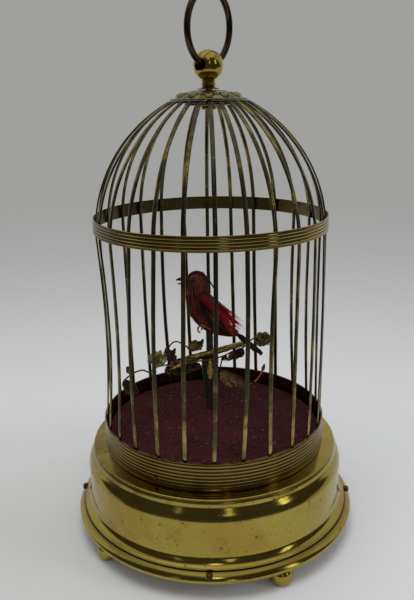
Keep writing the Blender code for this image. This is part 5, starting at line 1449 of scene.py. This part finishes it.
def make_flower_spray():
    """A wired garland under the perch: two tattered flowers, brown leaves, a catkin and curled stems."""
    dice = random.Random(5)
    heap = Heap()
    place = along_perch
    brown = srgb(76, 56, 32)
    dark = srgb(30, 22, 15)
    olive = srgb(92, 78, 48)
    tan = srgb(176, 142, 82)
    left_flower = (-35.9, -3.0, 4.1)
    right_flower = (33.7, 2.9, 1.3)
    under = -2.6
    route = [(-54.0, -9.0, -6.5), (-49.0, -7.5, -3.0), (-43.7, -6.2, -2.0), (-39.6, -5.2, -4.0),
             (-36.0, -4.0, -1.5), (-29.0, -2.6, -1.4), (-22.0, -1.0, under), (-12.0, 0.6, under),
             (-5.0, 1.8, under - 0.6), (5.0, 1.8, under - 0.6), (12.0, 0.8, under), (20.0, 0.0, under),
             (27.2, 0.7, 1.6), right_flower]
    wires = ((route, 0.45, brown), ((route[4], left_flower), 0.42, brown),
             ((route[5], (-28.5, -3.0, 8.0), (-24.6, -2.6, 11.0), (-19.0, -4.0, 8.0), (-13.6, -4.6, 3.0),
               (-14.5, -3.4, -2.4), route[7]), 0.40, dark),
             ((route[9], (2.2, 2.8, -8.0), (2.2, 2.8, -12.3)), 0.42, dark),
             (((6.5, 7.9, -17.7), (16.5, 10.2, -20.9), (23.0, 10.8, -19.0), (27.8, 11.0, -12.3)), 0.48,
              srgb(118, 72, 48)))
    for spots, radius, tint in wires:
        tube(heap, smooth_route([place(*spot) for spot in spots], 6), radius, tint, 7)
    flowers = ((place(*left_flower) - UP * 0.8, 5.4, srgb(158, 154, 100), srgb(120, 116, 78), 30),
               (place(*right_flower) - UP * 0.9, 5.2, srgb(120, 112, 66), srgb(74, 64, 42), 30),
               (place(5.2, 2.6, -4.6), 2.4, srgb(30, 27, 26), srgb(20, 17, 15), 12))
    for centre, radius, tint, edge, petals in flowers:
        tattered_flower(heap, dice, centre, radius, tint, edge, petals)
    for number in range(11):
        base = place(dice.uniform(-31.5, -25), dice.uniform(-2.6, 1.2), dice.uniform(-2.6, 1.8))
        tip = place(dice.uniform(-17, -9), dice.uniform(-2.0, 1.0), dice.uniform(-2.4, 1.2))
        tip.y -= 2.2
        sheet_leaf(heap, dice, base, tip, dice.uniform(1.8, 3.4), dice.uniform(0.3, 1.2), 0.02,
                   blended(tan, brown, dice.random()), dark, ragged=0.25)
    knots = (((-27.5, -2.5, -1.0), 3.2, 12, 4.4, brown, dark),
             ((-21.5, -1.6, -4.6), 3.4, 16, 4.6, dark, brown),
             ((-13.0, -0.8, -4.6), 2.8, 10, 3.8, dark, brown),
             ((-8.6, -2.8, 5.4), 2.2, 7, 4.0, brown, dark),
             ((16.0, 1.6, -4.2), 2.6, 9, 3.6, dark, brown))
    for spot, spread, count, size, tint, edge in knots:
        crumpled(heap, dice, place(*spot), spread, count, size, tint, edge)
    leaves = (
        (route[0], (-47.6, -6.2, -15.0), 8.5, 0.8, 0.1, dark, brown),
        (route[1], (-52.5, -8.0, 2.0), 5.0, 0.6, 0.15, brown, olive),
        ((-28.8, -2.8, 1.0), (-29.8, -3.6, 9.2), 5.6, 0.9, 0.1, brown, dark),
        ((-28.8, -2.8, 1.0), (-24.0, -3.0, 7.0), 3.6, 0.8, -0.1, dark, brown),
        ((-14.2, -4.5, 3.2), (-6.4, -2.4, 6.6), 6.4, 1.0, 0.1, brown, olive),
        ((-15.0, -4.5, 3.6), (-10.0, -3.4, 8.6), 5.0, 0.9, 0.12, olive, brown),
        (route[5], (-21.0, -2.0, -7.5), 8.6, 1.1, 0.1, dark, brown),
        (route[5], (-29.5, -3.0, -7.0), 6.0, 0.9, 0.15, brown, dark),
        (route[6], (-17.0, -0.6, -8.0), 6.5, 1.0, 0.1, dark, brown),
        (route[6], (-9.5, -0.5, -6.5), 7.0, 1.0, 0.1, dark, brown),
        ((-7.0, 1.0, -3.6), (-3.6, 3.2, -8.0), 3.4, 0.6, 0.1, dark, brown),
        ((19.0, 0.4, under), (10.0, 2.8, -6.5), 5.6, 0.8, 0.1, dark, brown),
        ((20.0, 0.4, under), (16.0, 2.0, -7.0), 5.2, 0.8, 0.1, dark, brown),
        ((14.0, 0.8, under), (6.5, 2.6, -6.5), 4.6, 0.7, 0.1, brown, dark),
        ((2.0, 2.7, -12.0), (9.0, 8.5, -20.5), 9.5, 1.3, 0.08, olive, brown),
        ((6.0, 5.4, -14.0), (15.0, 11.5, -23.0), 9.0, 1.3, 0.1, brown, dark),
        ((12.0, 9.0, -19.0), (22.0, 11.0, -22.0), 4.6, 0.8, 0.1, dark, brown),
        ((26.0, 10.9, -15.5), (27.6, 11.0, -10.6), 2.6, 0.4, 0.1, dark, brown))
    for base, tip, width, cup, curl, tint, edge in leaves:
        sheet_leaf(heap, dice, place(*base), place(*tip), width, cup, curl, tint, edge)
    make_catkin(heap, place(-4.8, 2.0, under - 0.9))
    heap.piece("faded_flower_spray", petal_finish(), "frame", "faded_spray", sharp=60,
               stands_for=["flower_spray"])


def make_catkin(heap, top):
    """A long seed head of overlapping scales that hangs from the wire."""
    gold = srgb(150, 134, 62)
    for row in range(11):
        for number in range(5):
            turn = 72 * number + 36 * (row % 2)
            swell = 0.5 + 1.1 * math.sin(math.pi * (row + 1.2) / 12.5)
            start = top + polar(0.35 * swell, turn, -0.2 - 0.95 * row)
            middle = top + polar(0.95 * swell, turn, -0.8 - 0.95 * row)
            end = top + polar(0.55 * swell, turn, -1.9 - 0.95 * row)
            colour = shaded(gold, 0.7 + 0.09 * ((row * 5 + number * 3) % 7))
            plume(heap, smooth_route([start, middle, end], 2), polar(1, turn), 1.15 * swell, 0.2, colour,
                  shaded(colour, 0.75), blunt=0.3)
    tube(heap, [top + Vector((0, 0, 0.9)), top - Vector((0, 0, 10.2))], 0.4, shaded(gold, 0.6), 8)


# Movement in the base

def make_bellows_skin():
    """The pleated leather between the chest and the board."""
    low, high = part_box("bellows_leather")
    low, high = low * MM, high * MM
    rows = 24
    pleats = 4
    side = 14
    inward = ((0, -1), (1, 0), (0, 1), (-1, 0))
    points = []
    for row in range(rows + 1):
        share = row / rows
        inset = 1.2 - 1.1 * abs(math.sin(math.pi * pleats * share))
        corners = ((low.x + inset, low.y + inset), (high.x - inset, low.y + inset),
                   (high.x - inset, high.y - inset), (low.x + inset, high.y - inset))
        for edge, (push_x, push_y) in enumerate(inward):
            start = corners[edge]
            end = corners[(edge + 1) % 4]
            for step in range(side):
                part = step / side
                bulge = 0.12 * math.sin(math.pi * part)
                x = start[0] + (end[0] - start[0]) * part + bulge * push_x
                y = start[1] + (end[1] - start[1]) * part + bulge * push_y
                points.append((min(max(x, low.x), high.x), min(max(y, low.y), high.y),
                               high.z + (low.z - high.z) * share))
    piece = make_piece("pleated_leather", points, wrap(rows + 1, 4 * side), skin_finish(), None,
                       sharp=50, stands_for=["bellows_leather"])
    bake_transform(piece)


def paint_nodes(names, look):
    """Gives solids that keep their own shape a finish of their own."""
    for name in names:
        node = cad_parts[name]
        for place in range(max(len(node.material_slots), 1)):
            if place >= len(node.data.materials):
                node.data.materials.append(look)
            node.material_slots[place].material = look


def finish_movement():
    paint_nodes(("bottom_plate", "movement_lower_plate", "movement_upper_plate", "mainspring_barrel",
                 "cam_wheel", "whistle", "winding_key"), movement_brass())
    paint_nodes(("governor_fly", "whistle_piston", "start_stop_lever", "push_rod"), worked_steel())
    paint_nodes(("bellows_chest", "bellows_board"), chest_wood())
    make_bellows_skin()


# Stage

def make_floor():
    """A pale floor that fades out into the background."""
    clear_of("floor")
    tone = tuple(bpy.context.scene.songbird_stage.floor_tone)
    shape = bmesh.new()
    bmesh.ops.create_circle(shape, cap_ends=True, segments=96, radius=1.4)
    mesh = bpy.data.meshes.new("floor")
    shape.to_mesh(mesh)
    shape.free()
    look, tree, shader = new_finish("pale_floor")
    where = object_place(tree)
    part = place_node(tree, "SeparateXYZ", {0: where}).outputs
    dark = tuple(channel * 0.94 for channel in tone[:3]) + (1.0,)
    toned = mix(tree, rise(tree, cloud(tree, where, 6.0, 4.0), 0.3, 0.7), dark, tone)
    # Painted light: the floor is painted brighter towards +X.
    toned = mix(tree, rise(tree, part["X"], -0.06, 0.12), toned, (1.12, 1.13, 1.17, 1), "MULTIPLY")
    across = fall(tree, calculate(tree, "ABSOLUTE", part["X"]), 0.15, 0.21)
    along = times(tree, rise(tree, part["Y"], -0.31, -0.25), fall(tree, part["Y"], -0.05, 0.20))
    feed(tree, shader.inputs, {"Base Color": toned, "Roughness": 0.85, "Specular IOR Level": 0.2,
                               "Alpha": times(tree, across, along)})
    mesh.materials.append(look)
    floor = bpy.data.objects.new("floor", mesh)
    bpy.context.scene.collection.objects.link(floor)


def make_world():
    """Plain background, even light, and for the metal a pale room with a dark low front and small lamps."""
    tone = tuple(bpy.context.scene.songbird_stage.wall_tone)
    world = bpy.data.worlds.new("studio")
    world.use_nodes = True
    bpy.context.scene.world = world
    tree = world.node_tree
    tree.nodes.clear()
    way = place_node(tree, "TexCoord").outputs["Generated"]
    part = place_node(tree, "SeparateXYZ", {0: way}).outputs
    x, y, z = part["X"], part["Y"], part["Z"]
    near_floor = (1.72 * tone[0], 1.73 * tone[1], 1.77 * tone[2], 1.0)
    seen = mix(tree, rise(tree, z, -0.44, -0.14), near_floor, tone)

    dark_top = minus(tree, 0.31, times(tree, y, 1.08))
    shade = fall(tree, minus(tree, z, dark_top), -0.04, 0.04)
    pale = mix(tree, rise(tree, z, 0.45, 0.80), (0.54, 0.54, 0.53, 1), (0.34, 0.34, 0.33, 1))
    mirrored = mix(tree, shade, pale, (0.055, 0.053, 0.050, 1))
    mirrored = mix(tree, rise(tree, z, 0.70, 0.90), mirrored, (0.72, 0.72, 0.68, 1))
    for place, low, high, glow in (((0.847, -0.489, 0.208), 0.9965, 0.9985, 2.6),
                                   ((0.190, -0.950, 0.247), 0.9960, 0.9972, 0.90),
                                   ((0.0, -0.707, 0.707), 0.9955, 0.9985, 2.2)):
        mirrored = mix(tree, rise(tree, toward(tree, way, place), low, high), mirrored,
                       (glow, glow, 0.93 * glow, 1))
    table_top = plus(tree, rise(tree, y, -0.50, -0.10, -0.485, -0.21), rise(tree, y, 0.10, 0.40, 0.0, 0.11))
    table = fall(tree, minus(tree, z, table_top), -0.05, 0.05)
    mirrored = mix(tree, table, mirrored, (0.50, 0.50, 0.50, 1))
    flat = place_node(tree, "CombineXYZ", {"X": x, "Y": y, "Z": 0.0}).outputs["Vector"]
    level = place_node(tree, "VectorMath", {0: flat}, operation="NORMALIZE").outputs["Vector"]
    tall = times(tree, rise(tree, z, 0.16, 0.26), fall(tree, z, 0.46, 0.60))
    for turn, width, glow in ((60, 4.0, 1.8), (12, 2.0, 1.2), (-31, 2.0, 0.4)):
        place = (math.sin(math.radians(turn)), -math.cos(math.radians(turn)), 0.0)
        strip = rise(tree, toward(tree, level, place), math.cos(math.radians(width + 1.0)),
                     math.cos(math.radians(width - 1.0)))
        mirrored = mix(tree, times(tree, strip, tall), mirrored, (glow, glow, 0.9 * glow, 1))

    rays = place_node(tree, "LightPath").outputs
    light = mix(tree, rays["Is Glossy Ray"], (0.50, 0.50, 0.50, 1), mirrored)
    colour = mix(tree, larger(tree, rays["Is Camera Ray"], rays["Is Transmission Ray"]), light, seen)
    sky = place_node(tree, "Background", {"Color": colour, "Strength": 1.0})
    place_node(tree, "OutputWorld", {"Surface": sky.outputs[0]})


def make_lamp(name, place, size, power):
    """A square soft lamp that looks at the middle of the cage."""
    clear_of(name)
    data = bpy.data.lights.new(name, "AREA")
    data.size = size
    data.energy = power
    lamp = bpy.data.objects.new(name, data)
    lamp.visible_glossy = False
    lamp.location = place
    aim = Vector((0, 0, 0.12)) - Vector(place)
    lamp.rotation_euler = aim.to_track_quat("-Z", "Y").to_euler()
    bpy.context.scene.collection.objects.link(lamp)


def make_camera():
    clear_of("camera")
    data = bpy.data.cameras.new("camera")
    data.lens = 40.41
    data.sensor_width = 36.0
    data.clip_start = 0.01
    camera = bpy.data.objects.new("camera", data)
    pitch, yaw, roll = 0.29542, -0.00745, -0.01765
    ahead = Vector((math.sin(yaw) * math.cos(pitch), math.cos(yaw) * math.cos(pitch), -math.sin(pitch)))
    right = Vector((math.cos(yaw), -math.sin(yaw), 0))
    up = right.cross(ahead)
    across = right * math.cos(roll) + up * math.sin(roll)
    upward = up * math.cos(roll) - right * math.sin(roll)
    turn = Matrix((across, upward, -ahead)).transposed()
    camera.matrix_world = Matrix.Translation((0.0, -0.3442, 0.2338)) @ turn.to_4x4()
    bpy.context.scene.collection.objects.link(camera)
    bpy.context.scene.camera = camera


def make_stage():
    power = bpy.context.scene.songbird_stage.light
    make_floor()
    make_world()
    make_lamp("overhead", (-0.05, -0.35, 1.05), 0.5, power)
    make_lamp("window_right", (1.0, -0.42, 0.52), 0.28, 0.42 * power)
    make_lamp("window_front", (0.20, -0.92, 0.62), 0.16, 0.14 * power)
    make_camera()
    bpy.context.scene.view_settings.view_transform = "Standard"


# Buttons

class SONGBIRD_OT_stage(bpy.types.Operator):
    """Make the floor, the background, the lamps and the camera"""
    bl_idname = "songbird.stage"
    bl_label = "Stage"

    def execute(self, context):
        make_stage()
        return {"FINISHED"}


class SONGBIRD_OT_base(bpy.types.Operator):
    """Make the ball feet, the flange with its screws and the turned drum"""
    bl_idname = "songbird.base"
    bl_label = "Base"

    def execute(self, context):
        make_feet()
        make_flange()
        make_drum()
        return {"FINISHED"}


class SONGBIRD_OT_cage_rings(bpy.types.Operator):
    """Make the reeded ring and the reeded band"""
    bl_idname = "songbird.cage_rings"
    bl_label = "Cage rings"

    def execute(self, context):
        make_cage_rings()
        return {"FINISHED"}


class SONGBIRD_OT_bars(bpy.types.Operator):
    """Make the flat cage bars with their hand-made bends"""
    bl_idname = "songbird.bars"
    bl_label = "Cage bars"

    def execute(self, context):
        make_bars()
        return {"FINISHED"}


class SONGBIRD_OT_velvet(bpy.types.Operator):
    """Make the velvet floor of the cage"""
    bl_idname = "songbird.velvet"
    bl_label = "Velvet floor"

    def execute(self, context):
        make_velvet()
        return {"FINISHED"}


class SONGBIRD_OT_top(bpy.types.Operator):
    """Make the rosette, the clamp nut, the finial and the pull ring"""
    bl_idname = "songbird.top"
    bl_label = "Top fittings"

    def execute(self, context):
        make_rosette()
        make_hub_nut()
        make_finial()
        make_pull_ring()
        return {"FINISHED"}


class SONGBIRD_OT_perch(bpy.types.Operator):
    """Make the bark post and the gilt perch"""
    bl_idname = "songbird.perch"
    bl_label = "Post and perch"

    def execute(self, context):
        make_post()
        make_perch()
        return {"FINISHED"}


class SONGBIRD_OT_bird(bpy.types.Operator):
    """Make the feathered bird with its head, beak, feet and tail"""
    bl_idname = "songbird.bird"
    bl_label = "Bird"

    def execute(self, context):
        make_bird_body()
        make_bird_head()
        make_lower_beak()
        make_tail()
        return {"FINISHED"}


class SONGBIRD_OT_flowers(bpy.types.Operator):
    """Make the faded flower spray under the perch"""
    bl_idname = "songbird.flowers"
    bl_label = "Flower spray"

    def execute(self, context):
        make_flower_spray()
        return {"FINISHED"}


class SONGBIRD_OT_movement(bpy.types.Operator):
    """Finish the plates, wheels, bellows, whistle, key and lever in the base"""
    bl_idname = "songbird.movement"
    bl_label = "Movement"

    def execute(self, context):
        finish_movement()
        return {"FINISHED"}


class SONGBIRD_PT_panel(bpy.types.Panel):
    """Sizes, colours and buttons of the singing bird automaton"""
    bl_idname = "SONGBIRD_PT_panel"
    bl_label = "Singing bird automaton"
    bl_space_type = "VIEW_3D"
    bl_region_type = "UI"
    bl_category = "Songbird"

    def draw(self, context):
        layout = self.layout
        for name in ("songbird_brass", "songbird_cage", "songbird_bird", "songbird_stage"):
            group = getattr(context.scene, name)
            box = layout.box()
            for key in group.bl_rna.properties.keys():
                if key not in ("rna_type", "name"):
                    box.prop(group, key)
        for operator in OPERATORS:
            layout.operator(operator.bl_idname)


GROUPS = {"songbird_brass": SongbirdBrass, "songbird_cage": SongbirdCage, "songbird_bird": SongbirdBird,
          "songbird_stage": SongbirdStage}
OPERATORS = (SONGBIRD_OT_stage, SONGBIRD_OT_base, SONGBIRD_OT_cage_rings, SONGBIRD_OT_bars,
             SONGBIRD_OT_velvet, SONGBIRD_OT_top, SONGBIRD_OT_perch, SONGBIRD_OT_bird, SONGBIRD_OT_flowers,
             SONGBIRD_OT_movement)


def register():
    for name, group in GROUPS.items():
        bpy.utils.register_class(group)
        setattr(bpy.types.Scene, name, bpy.props.PointerProperty(type=group))
    for operator in OPERATORS:
        bpy.utils.register_class(operator)
    bpy.utils.register_class(SONGBIRD_PT_panel)


def unregister():
    bpy.utils.unregister_class(SONGBIRD_PT_panel)
    for operator in reversed(OPERATORS):
        bpy.utils.unregister_class(operator)
    for name, group in reversed(GROUPS.items()):
        delattr(bpy.types.Scene, name)
        bpy.utils.unregister_class(group)


def main():
    register()
    bpy.ops.songbird.stage()
    bpy.ops.songbird.base()
    bpy.ops.songbird.cage_rings()
    bpy.ops.songbird.bars()
    bpy.ops.songbird.velvet()
    bpy.ops.songbird.top()
    bpy.ops.songbird.perch()
    bpy.ops.songbird.bird()
    bpy.ops.songbird.flowers()
    bpy.ops.songbird.movement()
    bpy.context.view_layer.update()


if __name__ == "__main__":
    main()
